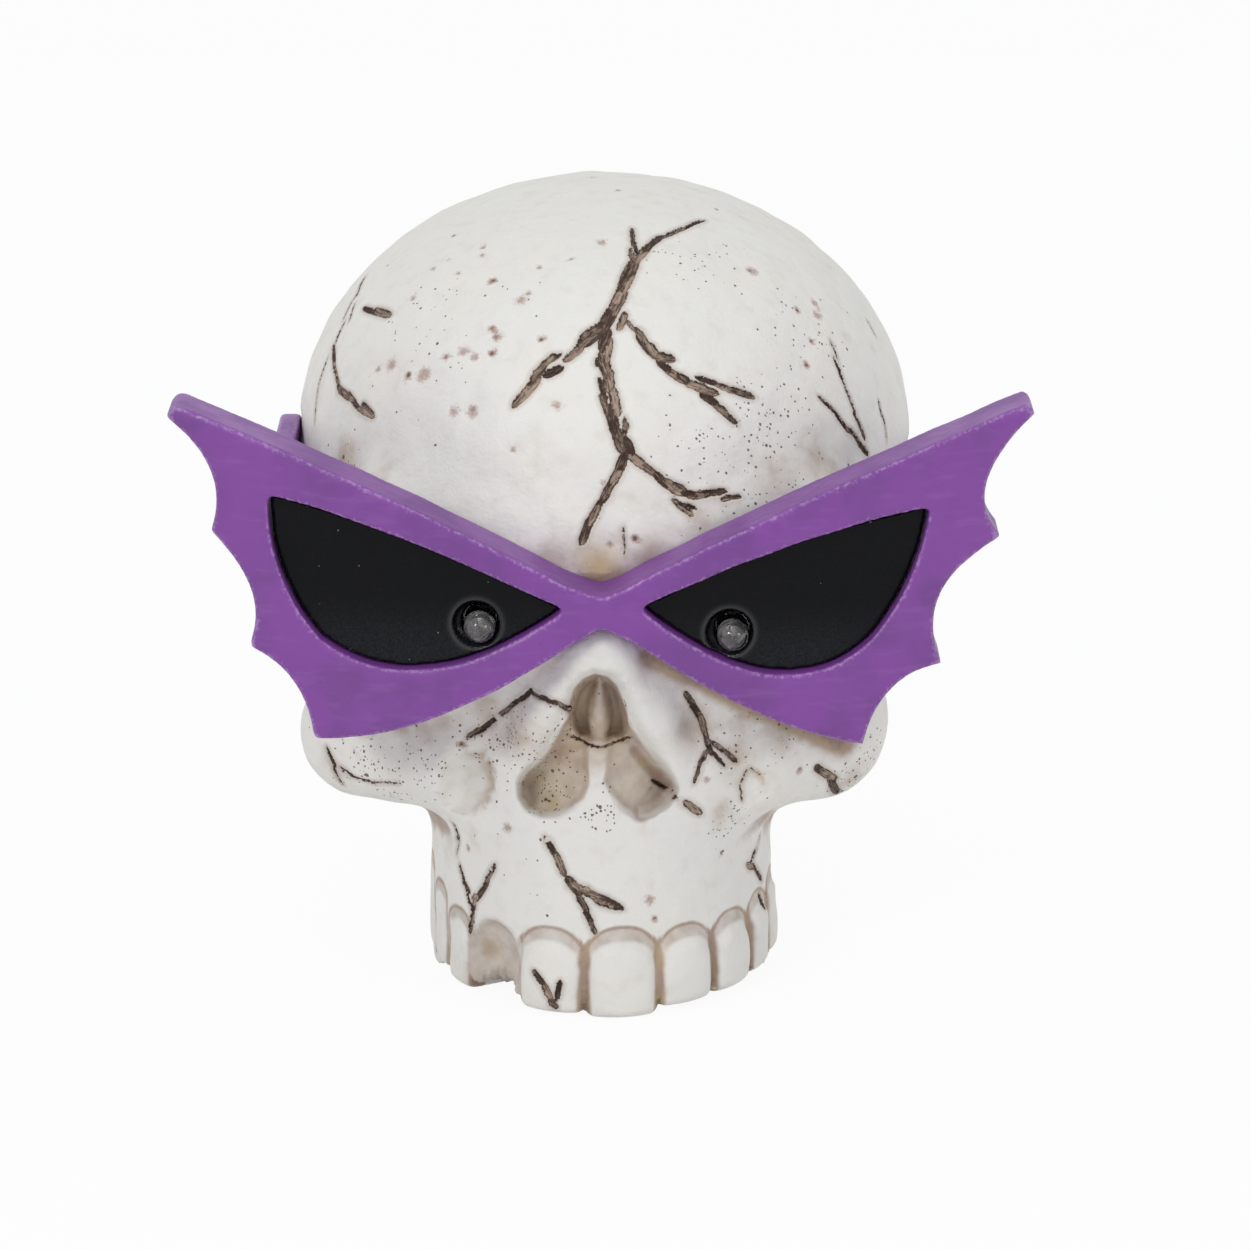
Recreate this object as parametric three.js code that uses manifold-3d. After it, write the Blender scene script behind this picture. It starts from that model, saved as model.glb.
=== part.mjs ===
// Table-top skull decoration with bat-wing glasses, two LED eyes and a battery box in the base.
// Millimetres, +Z up. The face looks along -Y, and +X is to the right of someone who looks at it.

import * as THREE from 'three';
import { mergeVertices } from 'three/addons/utils/BufferGeometryUtils.js';
import Module from 'manifold-3d';

const wasm = await Module();
wasm.setup();

// Clearances
const FIT = 0.3; // between two pieces that touch on the real object
const OVERRUN = 4; // how far a cutter runs past what it cuts

// Skull casting
const SKULL_WIDTH = 104.4;
const SKULL_DEPTH = 125; // front teeth to the back of the head
const SKULL_HEIGHT = 126.4;
const CORE_SLOT_WIDTH = 13; // cored slot that takes the wires down, front to back
const WIRE_BORE_DIAMETER = 9; // bore behind each eye

// Glasses
const GLASSES_SPAN = 139; // wing tip to wing tip
const GLASSES_RISE = 54.6; // lowest spike to wing tip
const GLASSES_THICKNESS = 10;
const GLASSES_WRAP_RADIUS = 238;
const GLASSES_EDGE_ROUND = 0.6;
const LENS_RECESS = 2; // lens rim behind the frame's front
const LENS_THICKNESS = 6.4;
const LENS_DISH_DEPTH = 0.9;
const ARM_THICKNESS = 3.6;
const ARM_HEIGHT = 7;
const ARM_REACH = 12; // past the widest place of the head, towards the back
const RIGHT_ARM_DROP = 4.5; // the right arm was glued on lower

// Clear 5 mm LED
const LED_DIAMETER = 5;
const LED_LENGTH = 8.6; // flange to dome
const LED_FLANGE_DIAMETER = 5.8;
const LED_FLANGE_THICKNESS = 1;
const LED_RING_DIAMETER = 7.2; // ring sunk in the lens around the LED
const LED_RING_DEPTH = 1.4;
const LED_SIDE_SHIFT = 0.6; // the LED stands off the ring's centre
const LED_STAND_OUT = 4.3; // dome in front of the dished lens
const LEAD_SIDE = 0.5;
const LEAD_PITCH = 2.54;
const LEAD_LENGTH = 8;
const SLEEVE_DIAMETER = 2.1;
const SLEEVE_WALL = 0.2;
const SLEEVE_LENGTH = 9;
const WIRE_DIAMETER = 1.1;

// AAA cell
const CELL_DIAMETER = 10.5;
const CELL_LENGTH = 44.5;
const CELL_NUB_DIAMETER = 3.8;
const CELL_NUB_HEIGHT = 0.9;
const CELL_GAP = 0.7; // between the two cells
const CELL_SIDE_GAP = 0.4;

// Battery box, cover and contacts
const BOX_WALL = 1.8;
const BOX_ROOF = 1.5;
const BOX_PARTITION = 1.4;
const BOX_RIM_WIDTH = 2.2;
const BOX_RIM_THICKNESS = 1.4;
const BOX_RIM_SUNK = 0.6; // rim above the table
const BOX_BACK_FROM_CENTRE = 10; // box centre behind the middle of the head
const SWITCH_BAY_LENGTH = 9;
const BAY_FLOOR = 2.1;
const COVER_THICKNESS = 1.6;
const COVER_LEDGE = 0.8;
const COVER_SUNK = 0.3; // cover above the rim's face
const HINGE_PIN_DIAMETER = 1;
const HINGE_PIN_LENGTH = 0.6;
const GRIP_BAR_HEIGHT = 0.3;
const GRIP_BAR_WIDTH = 0.8;
const GRIP_BAR_COUNT = 3;
const CONTACT_THICKNESS = 0.5;
const CONTACT_SIDE = 8.6;
const SPRING_LENGTH = 5;
const SPRING_DIAMETER = 7;
const SPRING_WIRE = 0.7;
const SPRING_TURNS = 3;

// Slide switch
const SWITCH_WIDTH = 8.6;
const SWITCH_DEPTH = 4.4;
const SWITCH_HEIGHT = 4.6;
const SWITCH_WALL = 0.6;
const SWITCH_TRAVEL = 2;
const SHOE_WIDTH = 4.4;
const SHOE_HEIGHT = 1.4;
const KNOB_WIDTH = 3;
const KNOB_DEPTH = 1.8;
const PIN_SIDE = 0.8;
const PIN_HEIGHT = 2;
const PIN_PITCH = 2.54;

// Counts
const SCULPT_MERIDIANS = 58;
const SCULPT_RINGS = 39;
const SCULPT_STEPS = 45;
const SCULPT_SMOOTHINGS = 1;
const WRAP_STEPS = 19;
const ROUND_SIDES = 24;
const WIRE_SIDES = 6;
const WIRE_STEPS = 16;

// The sculpt is written in shares of the skull's width, then stretched to its three sizes.
const SCULPT_DEPTH_SHARE = 1.1973;
const SCULPT_HEIGHT_SHARE = 1.2107;
const SCULPT_CENTRE_SHARES = [0, -0.077, 0.556]; // the surface is found along rays from here
const SCULPT_REACH_SHARE = 1;
const SCULPT_STEP_SHARE = 0.7; // of the distance to the surface, at each step along a ray
const SCULPT_FOCUS_SHARE = 0.3; // rings lie closer together around the nose

// Balls are ellipsoids, bars are round-ended rods, blocks have rounded edges.
const SCULPT_MASS_SHARES = [
  { name: 'cranium', ball: [0, 0.077, 0.8], radii: [0.5, 0.575, 0.411], blend: 0 },
  { name: 'occiput', ball: [0, 0.287, 0.575], radii: [0.364, 0.307, 0.326], blend: 0.096 },
  { name: 'foot', block: [0, 0.096, 0.153], half: [0.239, 0.383, 0.268], round: 0.115, blend: 0.096 },
  { name: 'face core', block: [0, -0.23, 0.498], half: [0.239, 0.23, 0.249], round: 0.115, blend: 0.077 },
  { name: 'upper jaw', ball: [-0.005, -0.216, 0.096], radii: [0.276, 0.309, 0.594], blend: 0.057 },
  { name: 'brow', bar: [0.067, -0.45, 0.757], to: [0.335, -0.359, 0.776], radius: 0.062, blend: 0.067, pair: true },
  { name: 'nasal bone', bar: [-0.005, -0.479, 0.699], to: [-0.005, -0.532, 0.618], radius: 0.053, blend: 0.038 },
  { name: 'nose rim', bar: [-0.038, -0.536, 0.594], to: [-0.101, -0.479, 0.479], radius: 0.031, blend: 0.029 },
  { name: 'nose rim', bar: [-0.101, -0.479, 0.479], to: [-0.129, -0.445, 0.393], radius: 0.029, blend: 0.029 },
  { name: 'nose rim', bar: [0.029, -0.536, 0.594], to: [0.081, -0.484, 0.489], radius: 0.031, blend: 0.029 },
  { name: 'nose rim', bar: [0.081, -0.484, 0.489], to: [0.11, -0.45, 0.393], radius: 0.029, blend: 0.029 },
  { name: 'left cheekbone', bar: [-0.239, -0.354, 0.388], to: [-0.382, -0.249, 0.373], radius: 0.094, blend: 0.067 },
  { name: 'right cheekbone', bar: [0.239, -0.354, 0.388], to: [0.346, -0.249, 0.37], radius: 0.091, blend: 0.067 },
  { name: 'left arch', bar: [-0.4, -0.211, 0.393], to: [-0.43, 0.077, 0.46], radius: 0.053, blend: 0.096 },
  { name: 'right arch', bar: [0.371, -0.211, 0.393], to: [0.416, 0.077, 0.46], radius: 0.053, blend: 0.096 },
  { name: 'arch web', ball: [0.259, -0.038, 0.364], radii: [0.153, 0.268, 0.125], blend: 0.077, pair: true },
  { name: 'orbit rim', bar: [0.383, -0.259, 0.45], to: [0.373, -0.268, 0.728], radius: 0.048, blend: 0.077, pair: true },
  { name: 'cheek rim', bar: [0.096, -0.45, 0.575], to: [0.345, -0.364, 0.498], radius: 0.053, blend: 0.057, pair: true },
  { name: 'eye pad', block: [0.192, -0.421, 0.661], half: [0.125, 0.134, 0.086], round: 0.057, blend: 0.038, pair: true },
  { name: 'mastoid', bar: [0.354, 0.153, 0.479], to: [0.316, 0.125, 0.326], radius: 0.077, blend: 0.086, pair: true },
];
const SCULPT_HOLLOW_SHARES = [
  { name: 'temple', ball: [0.565, -0.172, 0.603], radii: [0.134, 0.172, 0.125], blend: 0.086, pair: true },
  { name: 'left cheek hollow', ball: [-0.209, -0.498, 0.345], radii: [0.053, 0.057, 0.072], blend: 0.029 },
  { name: 'right cheek hollow', ball: [0.23, -0.489, 0.345], radii: [0.048, 0.057, 0.072], blend: 0.029 },
];

// Nose hollow as an upside-down heart; each run starts with its bend point, X across and Z up
const NOSE_TOP_SHARES = [-0.01, 0.582];
const NOSE_RUN_SHARES = [
  [-0.048, 0.573, -0.079, 0.484],
  [-0.144, 0.412, -0.122, 0.359],
  [-0.1, 0.322, -0.062, 0.34],
  [-0.034, 0.356, -0.014, 0.395],
  [0.01, 0.35, 0.034, 0.335],
  [0.077, 0.315, 0.099, 0.359],
  [0.115, 0.412, 0.067, 0.489],
  [0.029, 0.573, -0.01, 0.582],
];
const NOSE_FLOOR_SHARES = [-0.01, -0.402, 0.44]; // the hollow narrows towards this place
const NOSE_DEPTH_SHARE = 0.153; // floor to mouth
const NOSE_FLOOR_SCALE_SHARE = 0.6;
const NOSE_MOUTH_SCALE_SHARE = 1.2;
const SEPTUM_WIDTH_SHARE = 0.017;
const SEPTUM_CENTRE_SHARES = [-0.01, -0.421, 0.484];
const SEPTUM_HEIGHT_SHARE = 0.17;
const SEPTUM_DEPTH_SHARE = 0.125;

// Tooth arch: half an ellipse that runs on straight behind it
const ARCH_HALF_WIDTH_SHARE = 0.283; // of the skull's width
const ARCH_DEPTH_SHARE = 0.272; // of the skull's depth
const ARCH_FRONT_SHARE = 0.456; // of the skull's depth, in front of the middle
const ARCH_LENGTH_SHARE = 0.475; // half the ellipse's front arc, of the skull's width
const TOOTH_GAP_SHARE = 0.06; // of a tooth's width
const TOOTH_BITE_SHARE = 0.075; // how deep a tooth is, of the skull's depth
const TOOTH_BEVEL_SHARE = 0.011; // of the skull's width
const SOCKET_BITE_SHARE = 0.052; // the missing tooth's socket, of the skull's depth
const GUM_LIFT_SHARE = 0.017; // gum line above the table, of the skull's height
const PALATE_LIFT_SHARE = 0.045;
const PALATE_SCALE_SHARE = 0.62; // palate outline against the tooth arch
const FOOT_FRONT_SHARE = 0.243; // front of the foot, of the skull's depth

// Start and end along the half arch, gum line and biting edge as shares of the skull's height
const RIGHT_TOOTH_SHARES = [
  [-0.06, 0.197, 0.123, 0],
  [0.2, 0.423, 0.117, 0.009],
  [0.426, 0.64, 0.117, 0.01],
  [0.643, 0.82, 0.12, 0.012],
  [0.823, 1, 0.13, 0.014],
  [1.003, 1.16, 0.14, 0.016],
];
const LEFT_TOOTH_SHARES = [
  [0.073, 0.313, 0.12, 0.004],
  [0.533, 0.695, 0.112, 0.004],
  [0.698, 0.85, 0.13, 0.012],
  [0.853, 1.005, 0.15, 0.014],
  [1.008, 1.16, 0.16, 0.016],
];
const MISSING_TOOTH_SHARES = [0.3, 0.545, 0.109, -0.05];

// Glasses outline. X is a share of the span, Z a share of the rise above the line of the eyes.
const EYE_LINE_SHARE = 0.5427; // of the skull's height
const EYE_TILT_SHARE = 0.0055; // the left eye sits higher, of the skull's height
const EYE_HALF_SPACING_SHARE = 0.145; // of the span
const GLASSES_FRONT_SHARE = 0.512; // of the skull's depth, in front of the middle
const BRIDGE_TOP_SHARES = [-0.002, 0.112];
const BRIDGE_FOOT_SHARES = [-0.002, 0.016];
// Each run starts with its bend point and ends with its end point.
const LEFT_WING_SHARES = [
  [-0.012, 0.115, -0.045, 0.149],
  [-0.22, 0.4, -0.484, 0.641],
  [-0.491, 0.641, -0.5, 0.604],
  [-0.422, 0.465, -0.45, 0.268],
  [-0.38, 0.101, -0.408, -0.075],
  [-0.342, -0.14, -0.334, -0.35],
  [-0.2, -0.34, -0.037, -0.037],
];
const RIGHT_WING_SHARES = [
  [0.01, 0.115, 0.045, 0.165],
  [0.22, 0.4, 0.483, 0.645],
  [0.49, 0.645, 0.494, 0.615],
  [0.404, 0.405, 0.458, 0.25],
  [0.352, 0.115, 0.391, -0.125],
  [0.318, -0.15, 0.301, -0.36],
  [0.19, -0.31, 0.04, -0.035],
];
const LEFT_LENS_SHARES = [
  [-0.044, 0.071],
  [-0.25, 0.325, -0.382, 0.39],
  [-0.386, 0.14, -0.324, -0.04],
  [-0.21, -0.245, -0.044, 0.071],
];
const RIGHT_LENS_SHARES = [
  [0.043, 0.077],
  [0.22, 0.295, 0.374, 0.354],
  [0.362, 0.12, 0.308, -0.04],
  [0.205, -0.275, 0.043, 0.077],
];
const DISH_HALF_WIDTH_SHARE = 0.19; // of the span
const DISH_HALF_HEIGHT_SHARE = 0.3; // of the rise
const TIP_ROUND_SHARE = 0.27; // the edge's rounding is at most this much of a wing tip's width
const ARM_FOOT_SHARE = 0.5512; // where an arm meets the frame's back, of the skull's width
const ARM_TOP_SHARE = 0.691; // of the skull's height
const ARM_TIP_DROP_SHARE = 0.35; // of the arm's height
const CORE_SLOT_FRONT_SHARE = 0.16; // of the skull's depth, in front of the middle
const CORE_SLOT_HALF_SHARE = 0.176; // half width at the eyes, of the span
const CORE_SLOT_FOOT_SHARE = 0.42; // width at the box against the box's width
const WIRE_HOLE_SHARES = [0.27, 0.12]; // of the box's inner width, from the middle

// Sizes that follow from the ones above
const eyeLine = SKULL_HEIGHT * EYE_LINE_SHARE;
const eyeTilt = SKULL_HEIGHT * EYE_TILT_SHARE;
const eyeX = GLASSES_SPAN * EYE_HALF_SPACING_SHARE;
const glassesFront = -SKULL_DEPTH * GLASSES_FRONT_SHARE;
const tipWidth = GLASSES_SPAN * (LEFT_WING_SHARES[1][2] - LEFT_WING_SHARES[2][2]);
const edgeRound = Math.min(GLASSES_EDGE_ROUND, tipWidth * TIP_ROUND_SHARE);
const slotFront = -SKULL_DEPTH * CORE_SLOT_FRONT_SHARE;
const slotBack = slotFront + CORE_SLOT_WIDTH;

const cellPitch = CELL_DIAMETER + CELL_GAP;
const boxInnerWidth = cellPitch + CELL_DIAMETER + 2 * CELL_SIDE_GAP;
const boxWidth = boxInnerWidth + 2 * BOX_WALL;
const bayLength = CELL_LENGTH + SPRING_LENGTH + 2 * CONTACT_THICKNESS + 5 * FIT;
const boxLength = bayLength + SWITCH_BAY_LENGTH + BOX_PARTITION + 2 * BOX_WALL;
const boxBack = BOX_BACK_FROM_CENTRE + boxLength / 2;
const boxFront = boxBack - boxLength;
const bayBack = boxBack - BOX_WALL;
const bayFront = bayBack - bayLength;
const switchBayFront = boxFront + BOX_WALL;
const switchBayMiddle = switchBayFront + SWITCH_BAY_LENGTH / 2;
const rimTop = BOX_RIM_SUNK + BOX_RIM_THICKNESS;
const coverBottom = BOX_RIM_SUNK + COVER_SUNK;
const coverTop = coverBottom + COVER_THICKNESS;
const ledgeHeight = coverTop + FIT;
const cellZ = coverTop + FIT + CELL_DIAMETER / 2;
const roofInside = cellZ + CELL_DIAMETER / 2 + FIT;
const boxTop = roofInside + BOX_ROOF;
const coverWidth = boxInnerWidth + 2 * COVER_LEDGE - 2 * FIT;
const coverLength = bayLength + COVER_LEDGE - 2 * FIT;
const hingeY = bayBack + COVER_LEDGE - FIT - COVER_THICKNESS / 2;
const hingeZ = coverBottom + COVER_THICKNESS / 2;
const switchBottom = BOX_RIM_SUNK + BAY_FLOOR + FIT;
const switchTop = switchBottom + SWITCH_HEIGHT;

function sculptPoint(shares) {
  return new THREE.Vector3(
    shares[0] * SKULL_WIDTH,
    (shares[1] / SCULPT_DEPTH_SHARE) * SKULL_DEPTH,
    (shares[2] / SCULPT_HEIGHT_SHARE) * SKULL_HEIGHT
  );
}

// Joining and cutting of closed meshes

function solid(geometry) {
  const bare = geometry.clone();
  bare.deleteAttribute('normal');
  bare.deleteAttribute('uv');
  const merged = mergeVertices(bare);
  return new wasm.Manifold(
    new wasm.Mesh({
      numProp: 3,
      vertProperties: new Float32Array(merged.attributes.position.array),
      triVerts: new Uint32Array(merged.index.array),
    })
  );
}

function geometryOf(manifold) {
  const mesh = manifold.getMesh();
  const geometry = new THREE.BufferGeometry();
  geometry.setAttribute('position', new THREE.BufferAttribute(mesh.vertProperties, 3));
  geometry.setIndex(new THREE.BufferAttribute(mesh.triVerts, 1));
  geometry.computeVertexNormals();
  return geometry;
}

function joined(first, ...others) {
  return others.reduce((sum, other) => sum.add(other), first);
}

function cut(first, ...others) {
  return others.reduce((rest, other) => rest.subtract(other), first);
}

// A box between two corners
function slab(low, high) {
  const geometry = new THREE.BoxGeometry(high[0] - low[0], high[1] - low[1], high[2] - low[2]);
  geometry.translate((low[0] + high[0]) / 2, (low[1] + high[1]) / 2, (low[2] + high[2]) / 2);
  return solid(geometry);
}

function roundedPlate(width, length, low, high, corner, middleY) {
  const shape = new THREE.Shape();
  const x = width / 2;
  const y = length / 2;
  shape.moveTo(-x + corner, -y);
  shape.lineTo(x - corner, -y);
  shape.absarc(x - corner, -y + corner, corner, -Math.PI / 2, 0);
  shape.lineTo(x, y - corner);
  shape.absarc(x - corner, y - corner, corner, 0, Math.PI / 2);
  shape.lineTo(-x + corner, y);
  shape.absarc(-x + corner, y - corner, corner, Math.PI / 2, Math.PI);
  shape.lineTo(-x, -y + corner);
  shape.absarc(-x + corner, -y + corner, corner, Math.PI, 1.5 * Math.PI);
  const geometry = new THREE.ExtrudeGeometry(shape, {
    depth: high - low,
    bevelEnabled: false,
    curveSegments: 4,
  });
  geometry.translate(0, middleY, low);
  return solid(geometry);
}

// A round rod along Y between two places
function rodAlongY(x, z, radius, fromY, toY, sides) {
  const geometry = new THREE.CylinderGeometry(radius, radius, toY - fromY, sides);
  geometry.translate(x, (fromY + toY) / 2, z);
  return solid(geometry);
}

function rodAlongZ(x, y, radius, fromZ, toZ, sides) {
  const geometry = new THREE.CylinderGeometry(radius, radius, toZ - fromZ, sides);
  geometry.rotateX(Math.PI / 2);
  geometry.translate(x, y, (fromZ + toZ) / 2);
  return solid(geometry);
}

function rodAlongX(y, z, radius, fromX, toX, sides) {
  const geometry = new THREE.CylinderGeometry(radius, radius, toX - fromX, sides);
  geometry.rotateZ(Math.PI / 2);
  geometry.translate((fromX + toX) / 2, y, z);
  return solid(geometry);
}

// An outline in X and Z, made solid between two places along Y
function prismAlongY(shape, fromY, toY, segments) {
  const geometry = new THREE.ExtrudeGeometry(shape, {
    depth: toY - fromY,
    bevelEnabled: false,
    curveSegments: segments,
  });
  geometry.rotateX(Math.PI / 2);
  geometry.translate(0, toY, 0);
  return solid(geometry);
}

// Skull sculpt

function ballDistance(point, ball, radii) {
  const x = point[0] - ball[0];
  const y = point[1] - ball[1];
  const z = point[2] - ball[2];
  const scaled = Math.hypot(x / radii[0], y / radii[1], z / radii[2]);
  const slope = Math.hypot(x / radii[0] ** 2, y / radii[1] ** 2, z / radii[2] ** 2);
  return slope === 0 ? -Math.min(...radii) : (scaled * (scaled - 1)) / slope;
}

function barDistance(point, bar, to, radius) {
  const along = [to[0] - bar[0], to[1] - bar[1], to[2] - bar[2]];
  const away = [point[0] - bar[0], point[1] - bar[1], point[2] - bar[2]];
  const length = along[0] ** 2 + along[1] ** 2 + along[2] ** 2;
  const dot = along[0] * away[0] + along[1] * away[1] + along[2] * away[2];
  const share = Math.min(1, Math.max(0, dot / length));
  return Math.hypot(away[0] - along[0] * share, away[1] - along[1] * share, away[2] - along[2] * share) - radius;
}

function blockDistance(point, block, half, round) {
  const x = Math.abs(point[0] - block[0]) - half[0] + round;
  const y = Math.abs(point[1] - block[1]) - half[1] + round;
  const z = Math.abs(point[2] - block[2]) - half[2] + round;
  const outside = Math.hypot(Math.max(x, 0), Math.max(y, 0), Math.max(z, 0));
  return outside + Math.min(Math.max(x, y, z), 0) - round;
}

function massDistance(point, mass) {
  if (mass.ball) return ballDistance(point, mass.ball, mass.radii);
  if (mass.bar) return barDistance(point, mass.bar, mass.to, mass.radius);
  return blockDistance(point, mass.block, mass.half, mass.round);
}

function bothSides(point, mass) {
  const here = massDistance(point, mass);
  if (!mass.pair) return here;
  return Math.min(here, massDistance([-point[0], point[1], point[2]], mass));
}

function smoothMin(a, b, blend) {
  if (blend === 0) return Math.min(a, b);
  const overlap = Math.max(blend - Math.abs(a - b), 0) / blend;
  return Math.min(a, b) - (overlap * overlap * blend) / 4;
}

// Less than zero inside the sculpt
function sculptField(point) {
  let field = SCULPT_REACH_SHARE;
  for (const mass of SCULPT_MASS_SHARES) field = smoothMin(field, bothSides(point, mass), mass.blend);
  for (const hollow of SCULPT_HOLLOW_SHARES) field = -smoothMin(-field, bothSides(point, hollow), hollow.blend);
  return field;
}

function sculptReach(direction) {
  let reach = SCULPT_REACH_SHARE;
  for (let i = 0; i < SCULPT_STEPS; i++) {
    const point = SCULPT_CENTRE_SHARES.map((centre, axis) => centre + direction[axis] * reach);
    reach -= SCULPT_STEP_SHARE * sculptField(point);
  }
  return reach;
}

// The direction of a vertex of a unit ball, with the rings drawn together towards -Y
function focusedDirection(x, y, z) {
  const angle = Math.acos(THREE.MathUtils.clamp(-y, -1, 1));
  const focused = angle - SCULPT_FOCUS_SHARE * Math.sin(angle);
  const side = Math.hypot(x, z) || 1;
  return [(Math.sin(focused) * x) / side, -Math.cos(focused), (Math.sin(focused) * z) / side];
}

// Each reach drawn towards the four beside it; the first and last columns are the same place
function smoothed(reaches) {
  const columns = SCULPT_MERIDIANS + 1;
  return reaches.map((reach, i) => {
    const row = Math.floor(i / columns);
    const column = i % columns;
    if (row === 0 || row === SCULPT_RINGS) return reach;
    const left = reaches[row * columns + (column === 0 ? SCULPT_MERIDIANS - 1 : column - 1)];
    const right = reaches[row * columns + (column === SCULPT_MERIDIANS ? 1 : column + 1)];
    return (2 * reach + left + right + reaches[i - columns] + reaches[i + columns]) / 6;
  });
}

// A ball whose pole points at the nose, drawn in onto the sculpt along its rays
function sculptedHead() {
  const geometry = new THREE.SphereGeometry(1, SCULPT_MERIDIANS, SCULPT_RINGS);
  geometry.rotateX(Math.PI);
  const position = geometry.attributes.position;
  const directions = [];
  for (let i = 0; i < position.count; i++) {
    directions.push(focusedDirection(position.getX(i), position.getY(i), position.getZ(i)));
  }
  let reaches = directions.map(sculptReach);
  for (let i = 0; i < SCULPT_SMOOTHINGS; i++) reaches = smoothed(reaches);
  directions.forEach((direction, i) => {
    const shares = SCULPT_CENTRE_SHARES.map((centre, axis) => centre + direction[axis] * reaches[i]);
    position.setXYZ(i, ...sculptPoint(shares));
  });
  return solid(geometry);
}

// Teeth

const archHalfWidth = SKULL_WIDTH * ARCH_HALF_WIDTH_SHARE;
const archDepth = SKULL_DEPTH * ARCH_DEPTH_SHARE;
const archBack = -SKULL_DEPTH * ARCH_FRONT_SHARE + archDepth;
const archLength = SKULL_WIDTH * ARCH_LENGTH_SHARE;
const archCurve = new THREE.EllipseCurve(0, archBack, archHalfWidth, archDepth, -Math.PI / 2, 0);

// Where the arch is at a share of its half length, and how far it has turned from the front
function archPlace(share, side) {
  if (share > 1) {
    return { x: side * archHalfWidth, y: archBack + (share - 1) * archLength, turn: (side * Math.PI) / 2 };
  }
  const point = archCurve.getPointAt(share);
  const tangent = archCurve.getTangentAt(share);
  return { x: side * point.x, y: point.y, turn: side * Math.atan2(tangent.y, tangent.x) };
}

// One tooth: a bevelled block with a round gum line, cut square at the biting edge
function tooth(shares, side, bite, proud) {
  const [start, end, gumLine, edge] = shares;
  const width = (end - start) * archLength * (1 - TOOTH_GAP_SHARE);
  const height = (gumLine - edge) * SKULL_HEIGHT;
  const place = archPlace((start + end) / 2, side);
  const bevel = SKULL_WIDTH * TOOTH_BEVEL_SHARE;
  const x = width / 2 - bevel;
  const top = height - bevel;
  const shoulder = height - width / 2;
  const shape = new THREE.Shape();
  shape.moveTo(-x, bevel + bevel);
  shape.quadraticCurveTo(-x, bevel, -x + bevel, bevel);
  shape.lineTo(x - bevel, bevel);
  shape.quadraticCurveTo(x, bevel, x, bevel + bevel);
  shape.lineTo(x, shoulder);
  shape.bezierCurveTo(x, (shoulder + 3 * top) / 4, x * 0.6, top, 0, top);
  shape.bezierCurveTo(-x * 0.6, top, -x, (shoulder + 3 * top) / 4, -x, shoulder);
  const geometry = new THREE.ExtrudeGeometry(shape, {
    depth: bite - bevel,
    bevelThickness: bevel,
    bevelSize: bevel,
    bevelSegments: 2,
    curveSegments: 3,
  });
  geometry.rotateX(Math.PI / 2);
  geometry.translate(0, bite - proud, edge * SKULL_HEIGHT);
  geometry.rotateZ(place.turn);
  geometry.translate(place.x, place.y, 0);
  return solid(geometry);
}

function teeth() {
  const bite = SKULL_DEPTH * TOOTH_BITE_SHARE;
  return [
    ...RIGHT_TOOTH_SHARES.map((shares) => tooth(shares, 1, bite, 0)),
    ...LEFT_TOOTH_SHARES.map((shares) => tooth(shares, -1, bite, 0)),
  ];
}

// The jaw's underside: the gum stands off the table and the palate is hollow
function underJaw() {
  const gumLift = SKULL_HEIGHT * GUM_LIFT_SHARE;
  const footFront = -SKULL_DEPTH * FOOT_FRONT_SHARE;
  const gum = slab(
    [-SKULL_WIDTH / 2, -SKULL_DEPTH, -OVERRUN],
    [SKULL_WIDTH / 2, footFront, gumLift]
  );
  const half = archHalfWidth * PALATE_SCALE_SHARE;
  const shape = new THREE.Shape();
  shape.moveTo(half, footFront);
  shape.lineTo(-half, footFront);
  shape.absellipse(0, footFront, half, archDepth * PALATE_SCALE_SHARE, Math.PI, 2 * Math.PI);
  const palate = new THREE.ExtrudeGeometry(shape, {
    depth: SKULL_HEIGHT * PALATE_LIFT_SHARE + OVERRUN,
    bevelEnabled: false,
    curveSegments: 12,
  });
  palate.translate(0, 0, -OVERRUN);
  return [gum, solid(palate)];
}

function noseHollow() {
  const across = ([x, z]) => [sculptPoint([x, 0, z]).x, sculptPoint([x, 0, z]).z];
  const shape = new THREE.Shape();
  shape.moveTo(...across(NOSE_TOP_SHARES));
  for (const run of NOSE_RUN_SHARES) {
    shape.quadraticCurveTo(...across(run.slice(0, 2)), ...across(run.slice(2)));
  }
  const floor = sculptPoint(NOSE_FLOOR_SHARES);
  const depth = sculptPoint([0, NOSE_DEPTH_SHARE, 0]).y;
  const geometry = new THREE.ExtrudeGeometry(shape, {
    depth,
    steps: 4,
    bevelEnabled: false,
    curveSegments: 4,
  });
  const position = geometry.attributes.position;
  for (let i = 0; i < position.count; i++) {
    const opened = Math.sqrt(position.getZ(i) / depth);
    const scale = NOSE_FLOOR_SCALE_SHARE + (NOSE_MOUTH_SCALE_SHARE - NOSE_FLOOR_SCALE_SHARE) * opened;
    position.setX(i, floor.x + (position.getX(i) - floor.x) * scale);
    position.setY(i, floor.z + (position.getY(i) - floor.z) * scale);
  }
  geometry.rotateX(Math.PI / 2);
  geometry.translate(0, floor.y, 0);
  const middle = sculptPoint(SEPTUM_CENTRE_SHARES);
  const half = sculptPoint([SEPTUM_WIDTH_SHARE / 2, SEPTUM_DEPTH_SHARE / 2, SEPTUM_HEIGHT_SHARE / 2]);
  const septum = new THREE.CylinderGeometry(half.x, 2 * half.x, 2 * half.z, 6);
  septum.scale(1, 1, half.y / half.x);
  septum.rotateX(Math.PI / 2);
  septum.translate(middle.x, middle.y, middle.z);
  return cut(solid(geometry), solid(septum));
}

// Glasses

function wrapDepth(x) {
  return (x * x) / (2 * GLASSES_WRAP_RADIUS);
}

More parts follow.
